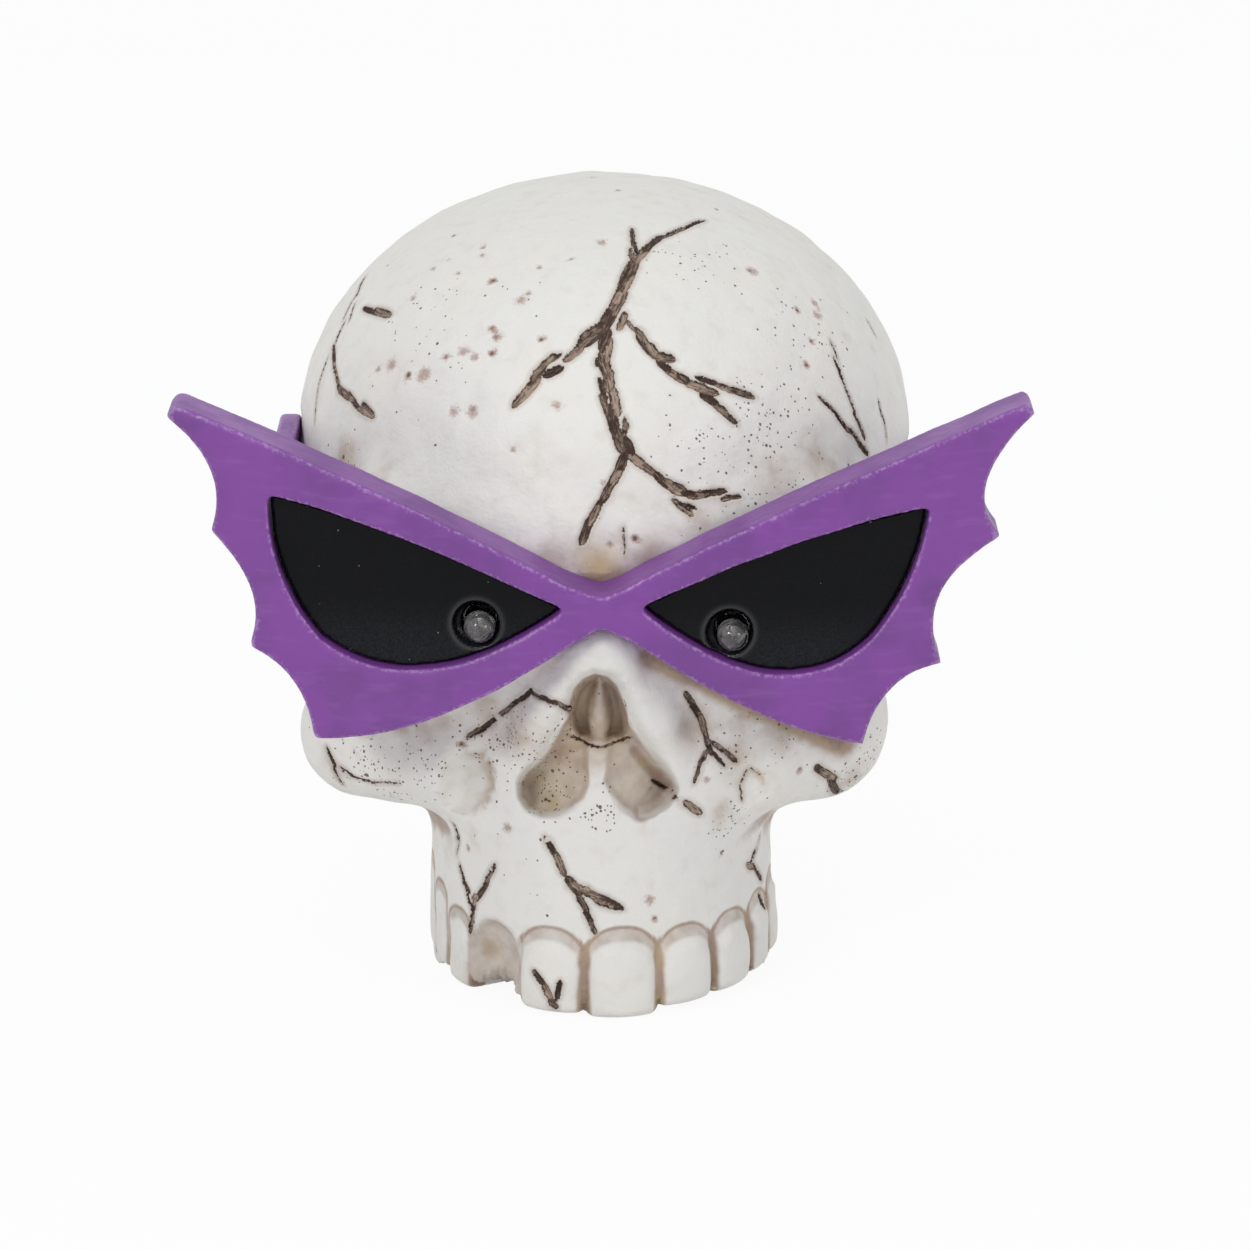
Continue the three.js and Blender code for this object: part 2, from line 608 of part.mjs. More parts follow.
function wrapped(geometry) {
  const position = geometry.attributes.position;
  for (let i = 0; i < position.count; i++) {
    position.setY(i, position.getY(i) + wrapDepth(position.getX(i)));
  }
  return geometry;
}

// The wrap is made of flat strips; this is where strip i begins
function stripStart(i) {
  return GLASSES_SPAN * (i / WRAP_STEPS - 0.5);
}

// A flat solid cut into strips, each of them moved back to the wrap, and joined again
function bent(flat) {
  const strips = [];
  let rest = flat;
  for (let i = 1; i <= WRAP_STEPS; i++) {
    const end = i < WRAP_STEPS ? stripStart(i) : GLASSES_SPAN;
    const soFar = slab([-GLASSES_SPAN, -SKULL_DEPTH, eyeLine - GLASSES_SPAN], [end, SKULL_DEPTH, eyeLine + GLASSES_SPAN]);
    strips.push(solid(wrapped(geometryOf(rest.intersect(soFar)))));
    rest = rest.subtract(soFar);
  }
  return joined(...strips);
}

// A sheet that follows the wrap, between two depths behind the frame's front
function wrapSheet(fromDepth, toDepth) {
  const shape = new THREE.Shape();
  const places = Array.from({ length: WRAP_STEPS + 3 }, (_, i) => stripStart(i - 1));
  const front = (x, depth) => glassesFront + wrapDepth(x) + depth;
  shape.moveTo(places[0], front(places[0], fromDepth));
  for (const x of places.slice(1)) shape.lineTo(x, front(x, fromDepth));
  for (const x of places.reverse()) shape.lineTo(x, front(x, toDepth));
  shape.closePath();
  const geometry = new THREE.ExtrudeGeometry(shape, { depth: 2 * GLASSES_RISE, bevelEnabled: false });
  geometry.translate(0, 0, eyeLine - GLASSES_RISE);
  return solid(geometry);
}

function glassesPoint(shareX, shareZ) {
  return [shareX * GLASSES_SPAN, eyeLine + shareZ * GLASSES_RISE];
}

function bendTo(shape, run) {
  shape.quadraticCurveTo(...glassesPoint(run[0], run[1]), ...glassesPoint(run[2], run[3]));
}

function wingOutline() {
  const shape = new THREE.Shape();
  shape.moveTo(...glassesPoint(...BRIDGE_TOP_SHARES));
  for (const run of LEFT_WING_SHARES) bendTo(shape, run);
  shape.lineTo(...glassesPoint(...BRIDGE_FOOT_SHARES));
  const back = [...RIGHT_WING_SHARES].reverse();
  shape.lineTo(...glassesPoint(back[0][2], back[0][3]));
  back.forEach((run, i) => {
    const end = i + 1 < back.length ? back[i + 1].slice(2) : BRIDGE_TOP_SHARES;
    bendTo(shape, [run[0], run[1], end[0], end[1]]);
  });
  return shape.getPoints(6);
}

function lensOutline(table) {
  const shape = new THREE.Shape();
  shape.moveTo(...glassesPoint(...table[0]));
  for (const run of table.slice(1)) bendTo(shape, run);
  return shape.getPoints(7);
}

// The outline without places that come twice
function tidied(points) {
  return points.filter((point, i) => point.distanceTo(points[(i + 1) % points.length]) > FIT / 10);
}

// The outline moved out by a distance, or in by a negative one
function grown(points, distance) {
  const ring = tidied(points);
  const turn = THREE.ShapeUtils.area(ring) > 0 ? 1 : -1;
  return ring.map((point, i) => {
    const before = ring[(i + ring.length - 1) % ring.length];
    const after = ring[(i + 1) % ring.length];
    const into = point.clone().sub(before).normalize();
    const out = after.clone().sub(point).normalize();
    const miter = new THREE.Vector2(into.y + out.y, -into.x - out.x);
    const length = Math.max(miter.lengthSq() / 2, 0.25);
    return point.clone().add(miter.multiplyScalar((turn * distance) / length));
  });
}

function outlinePrism(points, distance) {
  const shape = new THREE.Shape(grown(points, distance));
  return prismAlongY(shape, glassesFront - OVERRUN, -glassesFront, 1);
}

// The front, bevelled all round and in both lens openings, then bent to the wrap
function glassesFrame() {
  const shape = new THREE.Shape(tidied(wingOutline()));
  for (const table of [LEFT_LENS_SHARES, RIGHT_LENS_SHARES]) {
    shape.holes.push(new THREE.Path(tidied(lensOutline(table))));
  }
  const geometry = new THREE.ExtrudeGeometry(shape, {
    depth: GLASSES_THICKNESS - 2 * edgeRound,
    bevelThickness: edgeRound,
    bevelSize: edgeRound,
    bevelOffset: -edgeRound,
    bevelSegments: 2,
  });
  geometry.rotateX(Math.PI / 2);
  geometry.translate(0, glassesFront + GLASSES_THICKNESS - edgeRound, 0);
  return bent(solid(geometry));
}

// What the skull gives up to the glasses, so that they lie on it with the fit's gap
function glassesSeat() {
  return outlinePrism(wingOutline(), FIT).intersect(wrapSheet(-GLASSES_THICKNESS, GLASSES_THICKNESS + FIT));
}

const eyes = {
  left: { side: -1, x: -eyeX + LED_SIDE_SHIFT, ringX: -eyeX, z: eyeLine + eyeTilt, table: LEFT_LENS_SHARES },
  right: { side: 1, x: eyeX + LED_SIDE_SHIFT, ringX: eyeX, z: eyeLine - eyeTilt, table: RIGHT_LENS_SHARES },
};

// Depths at an eye, measured along Y
function eyeDepths(eye) {
  const rim = glassesFront + wrapDepth(eye.x) + LENS_RECESS;
  const dished = rim + LENS_DISH_DEPTH;
  const tip = dished - LED_STAND_OUT;
  const base = tip + LED_LENGTH;
  return { rim, dished, tip, base, flangeFront: base - LED_FLANGE_THICKNESS };
}

function lens(eye) {
  const depths = eyeDepths(eye);
  const outline = lensOutline(eye.table);
  const body = outlinePrism(outline, -FIT).intersect(wrapSheet(LENS_RECESS, LENS_RECESS + LENS_THICKNESS));
  const box = new THREE.Box2().setFromPoints(outline);
  const middle = box.getCenter(new THREE.Vector2());
  const dish = new THREE.SphereGeometry(1, 28, 14);
  dish.rotateX(Math.PI / 2);
  dish.scale(GLASSES_SPAN * DISH_HALF_WIDTH_SHARE, 2 * LENS_DISH_DEPTH, GLASSES_RISE * DISH_HALF_HEIGHT_SHARE);
  dish.translate(middle.x, glassesFront + LENS_RECESS - LENS_DISH_DEPTH, middle.y);
  const ring = rodAlongY(eye.ringX, eye.z, LED_RING_DIAMETER / 2, depths.tip, depths.dished + LED_RING_DEPTH, 20);
  const bore = rodAlongY(eye.x, eye.z, LED_DIAMETER / 2 + FIT, depths.tip, depths.base, 20);
  const pocket = rodAlongY(
    eye.x,
    eye.z,
    LED_FLANGE_DIAMETER / 2 + FIT,
    depths.flangeFront - FIT,
    depths.base + LENS_THICKNESS,
    20
  );
  return cut(body, solid(wrapped(dish)), ring, bore, pocket);
}

// Flange at the back, dome at the front; the profile is turned about its axis and then laid along Y
function led(eye) {
  const depths = eyeDepths(eye);
  const radius = LED_DIAMETER / 2;
  const flange = LED_FLANGE_DIAMETER / 2;
  const profile = [
    new THREE.Vector2(0, 0),
    new THREE.Vector2(flange, 0),
    new THREE.Vector2(flange, LED_FLANGE_THICKNESS),
    new THREE.Vector2(radius, LED_FLANGE_THICKNESS),
  ];
  const domeSteps = 4;
  for (let i = 0; i <= domeSteps; i++) {
    const angle = (Math.PI / 2) * (i / domeSteps);
    const x = i === domeSteps ? 0 : radius * Math.cos(angle);
    profile.push(new THREE.Vector2(x, LED_LENGTH - radius + radius * Math.sin(angle)));
  }
  const geometry = new THREE.LatheGeometry(profile, 16);
  geometry.rotateX(Math.PI);
  geometry.translate(eye.x, depths.base, eye.z);
  return solid(geometry);
}

function lead(eye, side) {
  const x = eye.x + (side * LEAD_PITCH) / 2;
  const start = eyeDepths(eye).base + FIT;
  const half = LEAD_SIDE / 2;
  return slab([x - half, start, eye.z - half], [x + half, start + LEAD_LENGTH, eye.z + half]);
}

function sleeve(eye, side) {
  const outer = SLEEVE_DIAMETER / 2;
  const inner = outer - SLEEVE_WALL;
  const half = SLEEVE_LENGTH / 2;
  const profile = [
    new THREE.Vector2(inner, -half),
    new THREE.Vector2(outer, -half),
    new THREE.Vector2(outer, half),
    new THREE.Vector2(inner, half),
    new THREE.Vector2(inner, -half),
  ];
  const geometry = new THREE.LatheGeometry(profile, 10);
  const leadEnd = eyeDepths(eye).base + FIT + LEAD_LENGTH;
  geometry.translate(eye.x + (side * LEAD_PITCH) / 2, leadEnd, eye.z);
  return solid(geometry);
}

// A wire from its sleeve through the bore, down the slot and through its hole in the box's roof
function wire(eye, side, holeShare) {
  const start = eyeDepths(eye).base + LEAD_LENGTH + 2 * FIT;
  const x = eye.x + (side * LEAD_PITCH) / 2;
  const holeX = eye.side * holeShare * boxInnerWidth;
  const slotY = (slotFront + slotBack) / 2;
  const drop = eye.z - boxTop;
  const route = [
    new THREE.Vector3(x, start, eye.z),
    new THREE.Vector3(x, slotFront, eye.z),
    new THREE.Vector3(x, slotY, eye.z - drop * 0.16),
    new THREE.Vector3((2 * x + holeX) / 3, slotY, eye.z - drop * 0.45),
    new THREE.Vector3((x + 4 * holeX) / 5, (slotY + switchBayMiddle) / 2, eye.z - drop * 0.8),
    new THREE.Vector3(holeX, switchBayMiddle, boxTop),
    new THREE.Vector3(holeX, switchBayMiddle, switchTop + PIN_HEIGHT + FIT),
  ];
  const section = new THREE.Shape();
  const turn = (i) => (2 * Math.PI * i) / WIRE_SIDES;
  section.moveTo(WIRE_DIAMETER / 2, 0);
  for (let i = 1; i < WIRE_SIDES; i++) {
    section.lineTo((WIRE_DIAMETER / 2) * Math.cos(turn(i)), (WIRE_DIAMETER / 2) * Math.sin(turn(i)));
  }
  section.closePath();
  const geometry = new THREE.ExtrudeGeometry(section, {
    steps: WIRE_STEPS,
    extrudePath: new THREE.CatmullRomCurve3(route, false, 'centripetal'),
    bevelEnabled: false,
  });
  return solid(geometry);
}

// Temple arms: drawn from above along the side of the head, and tapered in the side view

function armSolid(side, drop, extra) {
  const foot = SKULL_WIDTH * ARM_FOOT_SHARE;
  const footY = glassesFront + wrapDepth(foot) + GLASSES_THICKNESS - ARM_THICKNESS / 2;
  const hug = SKULL_WIDTH / 2 + ARM_THICKNESS / 2 - FIT;
  const spine = new THREE.CatmullRomCurve3([
    new THREE.Vector3(foot, footY - extra, 0),
    new THREE.Vector3((2 * foot + hug) / 3, (2 * footY) / 3, 0),
    new THREE.Vector3(hug, footY / 4, 0),
    new THREE.Vector3(hug, ARM_REACH + OVERRUN, 0),
  ]);
  const steps = 14;
  const half = ARM_THICKNESS / 2 + extra;
  const inner = [];
  const outer = [];
  for (let i = 0; i <= steps; i++) {
    const point = spine.getPointAt(i / steps);
    const tangent = spine.getTangentAt(i / steps);
    outer.push(new THREE.Vector2(side * (point.x + tangent.y * half), point.y - tangent.x * half));
    inner.push(new THREE.Vector2(side * (point.x - tangent.y * half), point.y + tangent.x * half));
  }
  const top = SKULL_HEIGHT * ARM_TOP_SHARE - drop;
  const low = top - ARM_HEIGHT;
  const plan = new THREE.ExtrudeGeometry(new THREE.Shape([...outer, ...inner.reverse()]), {
    depth: 3 * ARM_HEIGHT,
    bevelEnabled: false,
  });
  plan.translate(0, 0, top - 2 * ARM_HEIGHT);
  const tipY = ARM_REACH + extra;
  const tipDrop = ARM_HEIGHT * ARM_TIP_DROP_SHARE;
  const view = new THREE.Shape();
  view.moveTo(footY - OVERRUN, low - extra);
  view.lineTo(0, low - extra);
  view.quadraticCurveTo(tipY * 0.7, low - extra, tipY, low - tipDrop - extra);
  view.quadraticCurveTo(tipY + OVERRUN / 4, low + extra, tipY, top - tipDrop + extra);
  view.quadraticCurveTo(tipY * 0.4, top + extra, 0, top + extra);
  view.lineTo(footY - OVERRUN, top + extra);
  view.closePath();
  const profile = new THREE.ExtrudeGeometry(view, {
    depth: 2 * SKULL_WIDTH,
    bevelEnabled: false,
    curveSegments: 5,
  });
  profile.rotateZ(Math.PI / 2);
  profile.rotateY(Math.PI / 2);
  profile.translate(-SKULL_WIDTH, 0, 0);
  return solid(plan).intersect(solid(profile));
}

function templeArm(side, drop) {
  return cut(armSolid(side, drop, 0), wrapSheet(0, GLASSES_THICKNESS + FIT));
}

// Skull casting with everything that is cut into it

function coreSlot() {
  const top = eyeLine + WIRE_BORE_DIAMETER / 2;
  const half = GLASSES_SPAN * CORE_SLOT_HALF_SHARE;
  const foot = (boxWidth / 2) * CORE_SLOT_FOOT_SHARE * 2;
  const shape = new THREE.Shape();
  shape.moveTo(-foot, boxTop - BOX_ROOF);
  shape.lineTo(foot, boxTop - BOX_ROOF);
  shape.lineTo(half, eyeLine - WIRE_BORE_DIAMETER);
  shape.lineTo(half, top);
  shape.lineTo(-half, top);
  shape.lineTo(-half, eyeLine - WIRE_BORE_DIAMETER);
  shape.closePath();
  return prismAlongY(shape, slotFront, slotBack, 1);
}

function boxPocket() {
  const pocket = slab(
    [-boxWidth / 2 - FIT, boxFront - FIT, -OVERRUN],
    [boxWidth / 2 + FIT, boxBack + FIT, boxTop + FIT]
  );
  const rim = roundedPlate(
    boxWidth + 2 * BOX_RIM_WIDTH + 2 * FIT,
    boxLength + 2 * BOX_RIM_WIDTH + 2 * FIT,
    -OVERRUN,
    rimTop + FIT,
    BOX_RIM_WIDTH + FIT,
    BOX_BACK_FROM_CENTRE
  );
  return joined(pocket, rim);
}

function skullShell() {
  const belowTable = slab(
    [-SKULL_WIDTH, -SKULL_DEPTH, -SKULL_HEIGHT],
    [SKULL_WIDTH, SKULL_DEPTH, 0]
  );
  const bite = SKULL_DEPTH * SOCKET_BITE_SHARE;
  const missing = tooth(MISSING_TOOTH_SHARES, -1, bite + OVERRUN, OVERRUN);
  const bores = Object.values(eyes).map((eye) =>
    rodAlongY(eye.x, eye.z, WIRE_BORE_DIAMETER / 2, glassesFront - OVERRUN, (slotFront + slotBack) / 2, 16)
  );
  const head = cut(sculptedHead(), belowTable, ...underJaw(), missing);
  return cut(
    joined(head, ...teeth()),
    noseHollow(),
    glassesSeat(),
    armSolid(-1, 0, FIT),
    armSolid(1, RIGHT_ARM_DROP, FIT),
    ...bores,
    coreSlot(),
    boxPocket()
  );
}

// Battery box

function batteryBox() {
  const half = boxWidth / 2;
  const inner = boxInnerWidth / 2;
  const body = slab([-half, boxFront, rimTop - BOX_RIM_THICKNESS / 2], [half, boxBack, boxTop]);
  const rim = roundedPlate(
    boxWidth + 2 * BOX_RIM_WIDTH,
    boxLength + 2 * BOX_RIM_WIDTH,
    BOX_RIM_SUNK,
    rimTop,
    BOX_RIM_WIDTH,
    BOX_BACK_FROM_CENTRE
  );
  const cellBay = slab([-inner, bayFront, BOX_RIM_SUNK - OVERRUN], [inner, bayBack, roofInside]);
  const coverRebate = slab(
    [-inner - COVER_LEDGE, bayFront, BOX_RIM_SUNK - OVERRUN],
    [inner + COVER_LEDGE, bayBack + COVER_LEDGE, ledgeHeight]
  );
  const switchBay = slab(
    [-inner, switchBayFront, BOX_RIM_SUNK + BAY_FLOOR],
    [inner, switchBayFront + SWITCH_BAY_LENGTH, roofInside]
  );
  const knobSlot = slab(
    [-(KNOB_WIDTH + SWITCH_TRAVEL) / 2 - FIT, switchBayMiddle - KNOB_DEPTH / 2 - FIT, BOX_RIM_SUNK - OVERRUN],
    [(KNOB_WIDTH + SWITCH_TRAVEL) / 2 + FIT, switchBayMiddle + KNOB_DEPTH / 2 + FIT, roofInside]
  );
  const fingerDish = roundedPlate(
    KNOB_WIDTH + SWITCH_TRAVEL + 2 * BOX_WALL,
    KNOB_DEPTH + 2 * BOX_WALL,
    BOX_RIM_SUNK - OVERRUN,
    BOX_RIM_SUNK + BAY_FLOOR / 3,
    BOX_WALL / 2,
    switchBayMiddle
  );
  const pinHole = rodAlongX(
    hingeY,
    hingeZ,
    HINGE_PIN_DIAMETER / 2 + FIT,
    -coverWidth / 2 - HINGE_PIN_LENGTH - FIT,
    coverWidth / 2 + HINGE_PIN_LENGTH + FIT,
    12
  );
  const wireHoles = [];
  for (const share of WIRE_HOLE_SHARES) {
    for (const side of [-1, 1]) {
      wireHoles.push(
        rodAlongZ(
          side * share * boxInnerWidth,
          switchBayMiddle,
          WIRE_DIAMETER / 2 + FIT,
          roofInside - BOX_ROOF,
          boxTop + OVERRUN,
          10
        )
      );
    }
  }
  return cut(joined(body, rim), cellBay, coverRebate, switchBay, knobSlot, fingerDish, pinHole, ...wireHoles);
}

// Cover with a half-round hinge edge, two pins, a finger notch and grip bars
function batteryCover() {
  const half = coverWidth / 2;
  const front = hingeY + COVER_THICKNESS / 2 - coverLength;
  const plate = slab([-half, front, coverBottom], [half, hingeY, coverTop]);
  const edge = rodAlongX(hingeY, hingeZ, COVER_THICKNESS / 2, -half, half, 16);
  const pin = rodAlongX(
    hingeY,
    hingeZ,
    HINGE_PIN_DIAMETER / 2,
    -half - HINGE_PIN_LENGTH,
    half + HINGE_PIN_LENGTH,
    12
  );
  const notch = rodAlongZ(0, front, BOX_WALL + FIT, coverBottom - OVERRUN, coverTop + OVERRUN, 16);
  const bars = [];
  for (let i = 0; i < GRIP_BAR_COUNT; i++) {
    const y = front + 2 * BOX_WALL + 2 * GRIP_BAR_WIDTH * (i + 1);
    bars.push(slab([-half / 2, y, coverBottom - GRIP_BAR_HEIGHT], [half / 2, y + GRIP_BAR_WIDTH, hingeZ]));
  }
  return cut(joined(plate, edge, pin, ...bars), notch);
}

// A cell standing on its flat end, nub up, then laid along Y
function cell(side) {
  const radius = CELL_DIAMETER / 2;
  const shoulder = CELL_LENGTH - CELL_NUB_HEIGHT;
  const chamfer = CELL_NUB_HEIGHT / 2;
  const nub = CELL_NUB_DIAMETER / 2;
  const profile = [
    new THREE.Vector2(0, 0),
    new THREE.Vector2(radius - chamfer, 0),
    new THREE.Vector2(radius, chamfer),
    new THREE.Vector2(radius, shoulder - chamfer),
    new THREE.Vector2(radius - chamfer, shoulder),
    new THREE.Vector2(nub, shoulder),
    new THREE.Vector2(nub, CELL_LENGTH),
    new THREE.Vector2(0, CELL_LENGTH),
  ];
  const geometry = new THREE.LatheGeometry(profile, ROUND_SIDES);
  if (side > 0) geometry.rotateX(Math.PI);
  const start = bayFront + CONTACT_THICKNESS + 2 * FIT;
  const y = side < 0 ? start + SPRING_LENGTH + FIT : start + CELL_LENGTH;
  geometry.translate((side * cellPitch) / 2, y, cellZ);
  return solid(geometry);
}

class SpringCurve extends THREE.Curve {
  constructor(side) {
    super();
    this.side = side;
  }

  getPoint(share, target = new THREE.Vector3()) {
    const angle = share * SPRING_TURNS * 2 * Math.PI;
    const radius = (SPRING_DIAMETER - SPRING_WIRE) / 2;
    const inset = SPRING_WIRE / 2;
    const along = inset + share * (SPRING_LENGTH - 2 * inset);
    const narrow = radius * (1 - 0.3 * share);
    const start = this.side < 0 ? bayFront + CONTACT_THICKNESS + 2 * FIT : bayBack - CONTACT_THICKNESS - 2 * FIT;
    return target.set(
      (this.side * cellPitch) / 2 + narrow * Math.cos(angle),
      start - this.side * along,
      cellZ + narrow * Math.sin(angle)
    );
  }
}

// A coil spring that narrows towards its cell
function spring(side) {
  const section = new THREE.Shape();
  const sides = 5;
  section.moveTo(SPRING_WIRE / 2, 0);
  for (let i = 1; i < sides; i++) {
    const turn = (2 * Math.PI * i) / sides;
    section.lineTo((SPRING_WIRE / 2) * Math.cos(turn), (SPRING_WIRE / 2) * Math.sin(turn));
  }
  section.closePath();
  const geometry = new THREE.ExtrudeGeometry(section, {
    steps: SPRING_TURNS * 8,
    extrudePath: new SpringCurve(side),
    bevelEnabled: false,
  });
  return solid(geometry);
}

function contactPlate(side) {
  const x = (side * cellPitch) / 2;
  const half = CONTACT_SIDE / 2;
  const front = bayFront + FIT;
  return slab([x - half, front, cellZ - half], [x + half, front + CONTACT_THICKNESS, cellZ + half]);
}

function linkPlate() {
  const half = CONTACT_SIDE / 2;
  const back = bayBack - FIT;
  const reach = cellPitch / 2 + half;
  return slab([-reach, back - CONTACT_THICKNESS, cellZ - half], [reach, back, cellZ + half]);
}

// Slide switch

function switchBody() {
  const x = SWITCH_WIDTH / 2;
  const y = SWITCH_DEPTH / 2;
  const can = slab([-x, switchBayMiddle - y, switchBottom], [x, switchBayMiddle + y, switchTop]);
  const hollow = slab(
    [-x + SWITCH_WALL, switchBayMiddle - y + SWITCH_WALL, switchBottom + SWITCH_WALL],
    [x - SWITCH_WALL, switchBayMiddle + y - SWITCH_WALL, switchTop - 2 * SWITCH_WALL]
  );
  const slot = slab(
    [-(KNOB_WIDTH + SWITCH_TRAVEL) / 2 - FIT, switchBayMiddle - KNOB_DEPTH / 2 - FIT, switchBottom - OVERRUN],
    [(KNOB_WIDTH + SWITCH_TRAVEL) / 2 + FIT, switchBayMiddle + KNOB_DEPTH / 2 + FIT, switchBottom + 2 * SWITCH_WALL]
  );
  const pins = [-1, 0, 1].map((i) =>
    slab(
      [i * PIN_PITCH - PIN_SIDE / 2, switchBayMiddle - PIN_SIDE / 2, switchTop - SWITCH_WALL],
      [i * PIN_PITCH + PIN_SIDE / 2, switchBayMiddle + PIN_SIDE / 2, switchTop + PIN_HEIGHT]
    )
  );
  return joined(cut(can, hollow, slot), ...pins);
}

// Knob and shoe, in the off position
function switchSlider() {
  const x = -SWITCH_TRAVEL / 2;
  const shoeBottom = switchBottom + SWITCH_WALL + FIT;
  const shoeDepth = SWITCH_DEPTH - 2 * SWITCH_WALL - 2 * FIT;
  const shoe = slab(
    [x - SHOE_WIDTH / 2, switchBayMiddle - shoeDepth / 2, shoeBottom],
    [x + SHOE_WIDTH / 2, switchBayMiddle + shoeDepth / 2, shoeBottom + SHOE_HEIGHT]
  );
  const knob = slab(
    [x - KNOB_WIDTH / 2, switchBayMiddle - KNOB_DEPTH / 2, coverBottom],
    [x + KNOB_WIDTH / 2, switchBayMiddle + KNOB_DEPTH / 2, shoeBottom + SHOE_HEIGHT / 2]
  );
  return joined(shoe, knob);
}

// Materials

const finishes = {
  bone: { color: 0xe6e2dc, roughness: 0.85, metalness: 0 },
  purple: { color: 0x7d469c, roughness: 0.5, metalness: 0 },
  lensBlack: { color: 0x141416, roughness: 0.15, metalness: 0 },
  clear: { color: 0xdfe3e6, roughness: 0.08, metalness: 0, transparent: true, opacity: 0.5 },
  steel: { color: 0xb9bcc0, roughness: 0.35, metalness: 1 },
  red: { color: 0xb3201c, roughness: 0.5, metalness: 0 },
  black: { color: 0x1b1b1d, roughness: 0.55, metalness: 0 },
  cellSkin: { color: 0x3c6e4a, roughness: 0.35, metalness: 0 },
};

const group = new THREE.Group();

function place(name, manifold, finish) {
  const mesh = new THREE.Mesh(geometryOf(manifold), new THREE.MeshStandardMaterial(finishes[finish]));
  mesh.name = name;
  group.add(mesh);
}

place('skull_shell', skullShell(), 'bone');
place('glasses_frame', glassesFrame(), 'purple');
place('temple_arm_left', templeArm(-1, 0), 'purple');
place('temple_arm_right', templeArm(1, RIGHT_ARM_DROP), 'purple');
for (const [name, eye] of Object.entries(eyes)) {
  place(`lens_${name}`, lens(eye), 'lensBlack');
  place(`led_${name}`, led(eye), 'clear');
  place(`${name}_anode_lead`, lead(eye, -eye.side), 'steel');
  place(`${name}_cathode_lead`, lead(eye, eye.side), 'steel');
  place(`${name}_anode_sleeve`, sleeve(eye, -eye.side), 'black');
  place(`${name}_cathode_sleeve`, sleeve(eye, eye.side), 'black');
  place(`${name}_red_wire`, wire(eye, -eye.side, WIRE_HOLE_SHARES[1]), 'red');
  place(`${name}_black_wire`, wire(eye, eye.side, WIRE_HOLE_SHARES[0]), 'black');
}
place('battery_box', batteryBox(), 'black');
place('battery_cover', batteryCover(), 'black');
place('battery_cell_left', cell(-1), 'cellSkin');
place('battery_cell_right', cell(1), 'cellSkin');
place('spring_left', spring(-1), 'steel');
place('spring_right', spring(1), 'steel');
place('negative_plate', contactPlate(-1), 'steel');
place('positive_plate', contactPlate(1), 'steel');
place('link_plate', linkPlate(), 'steel');
place('switch_body', switchBody(), 'steel');
place('switch_slider', switchSlider(), 'black');

// The part stands on the table with the middle of its outer box at the origin.
group.updateMatrixWorld(true);
const outer = new THREE.Box3().setFromObject(group);
const middle = outer.getCenter(new THREE.Vector3());
group.position.set(-middle.x, -middle.y, -outer.min.z);

export default group;
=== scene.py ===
"""Halloween skull decoration: cast skull, bat-wing glasses, lenses, LEDs and battery box around the CAD frame."""

import math

import bpy
import numpy as np
from bpy.props import FloatProperty, FloatVectorProperty, PointerProperty
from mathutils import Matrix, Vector
from mathutils.bvhtree import BVHTree


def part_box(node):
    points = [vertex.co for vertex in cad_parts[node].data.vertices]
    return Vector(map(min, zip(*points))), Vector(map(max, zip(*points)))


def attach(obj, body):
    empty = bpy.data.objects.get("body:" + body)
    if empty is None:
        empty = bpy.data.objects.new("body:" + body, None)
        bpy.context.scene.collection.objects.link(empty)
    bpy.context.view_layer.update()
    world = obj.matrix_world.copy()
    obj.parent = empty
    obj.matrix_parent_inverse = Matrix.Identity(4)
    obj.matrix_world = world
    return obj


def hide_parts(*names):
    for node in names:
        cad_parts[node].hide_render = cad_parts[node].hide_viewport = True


bl_info = {
    "name": "Halloween Skull Decoration",
    "version": (1, 0, 0),
    "blender": (4, 5, 0),
    "location": "View3D > Sidebar > Skull",
    "description": "Builds a cast skull with bat-wing glasses, LED eyes and a battery box",
    "category": "Object",
}

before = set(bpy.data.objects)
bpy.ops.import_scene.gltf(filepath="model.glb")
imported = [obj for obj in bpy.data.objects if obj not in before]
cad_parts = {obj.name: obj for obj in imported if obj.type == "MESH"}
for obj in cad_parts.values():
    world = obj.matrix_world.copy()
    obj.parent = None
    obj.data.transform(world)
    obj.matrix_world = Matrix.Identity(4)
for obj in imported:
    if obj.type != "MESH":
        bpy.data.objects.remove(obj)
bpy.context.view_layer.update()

MM = 0.001


def box_middle(node):
    low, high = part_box(node)
    return (low + high) / 2


# The sculpt's own middle stands this far from the row frame's; the battery box marks it.
BOX_BEHIND_MIDDLE = 10 * MM
SHIFT = Vector((box_middle("battery_box").x, box_middle("battery_box").y - BOX_BEHIND_MIDDLE, 0))

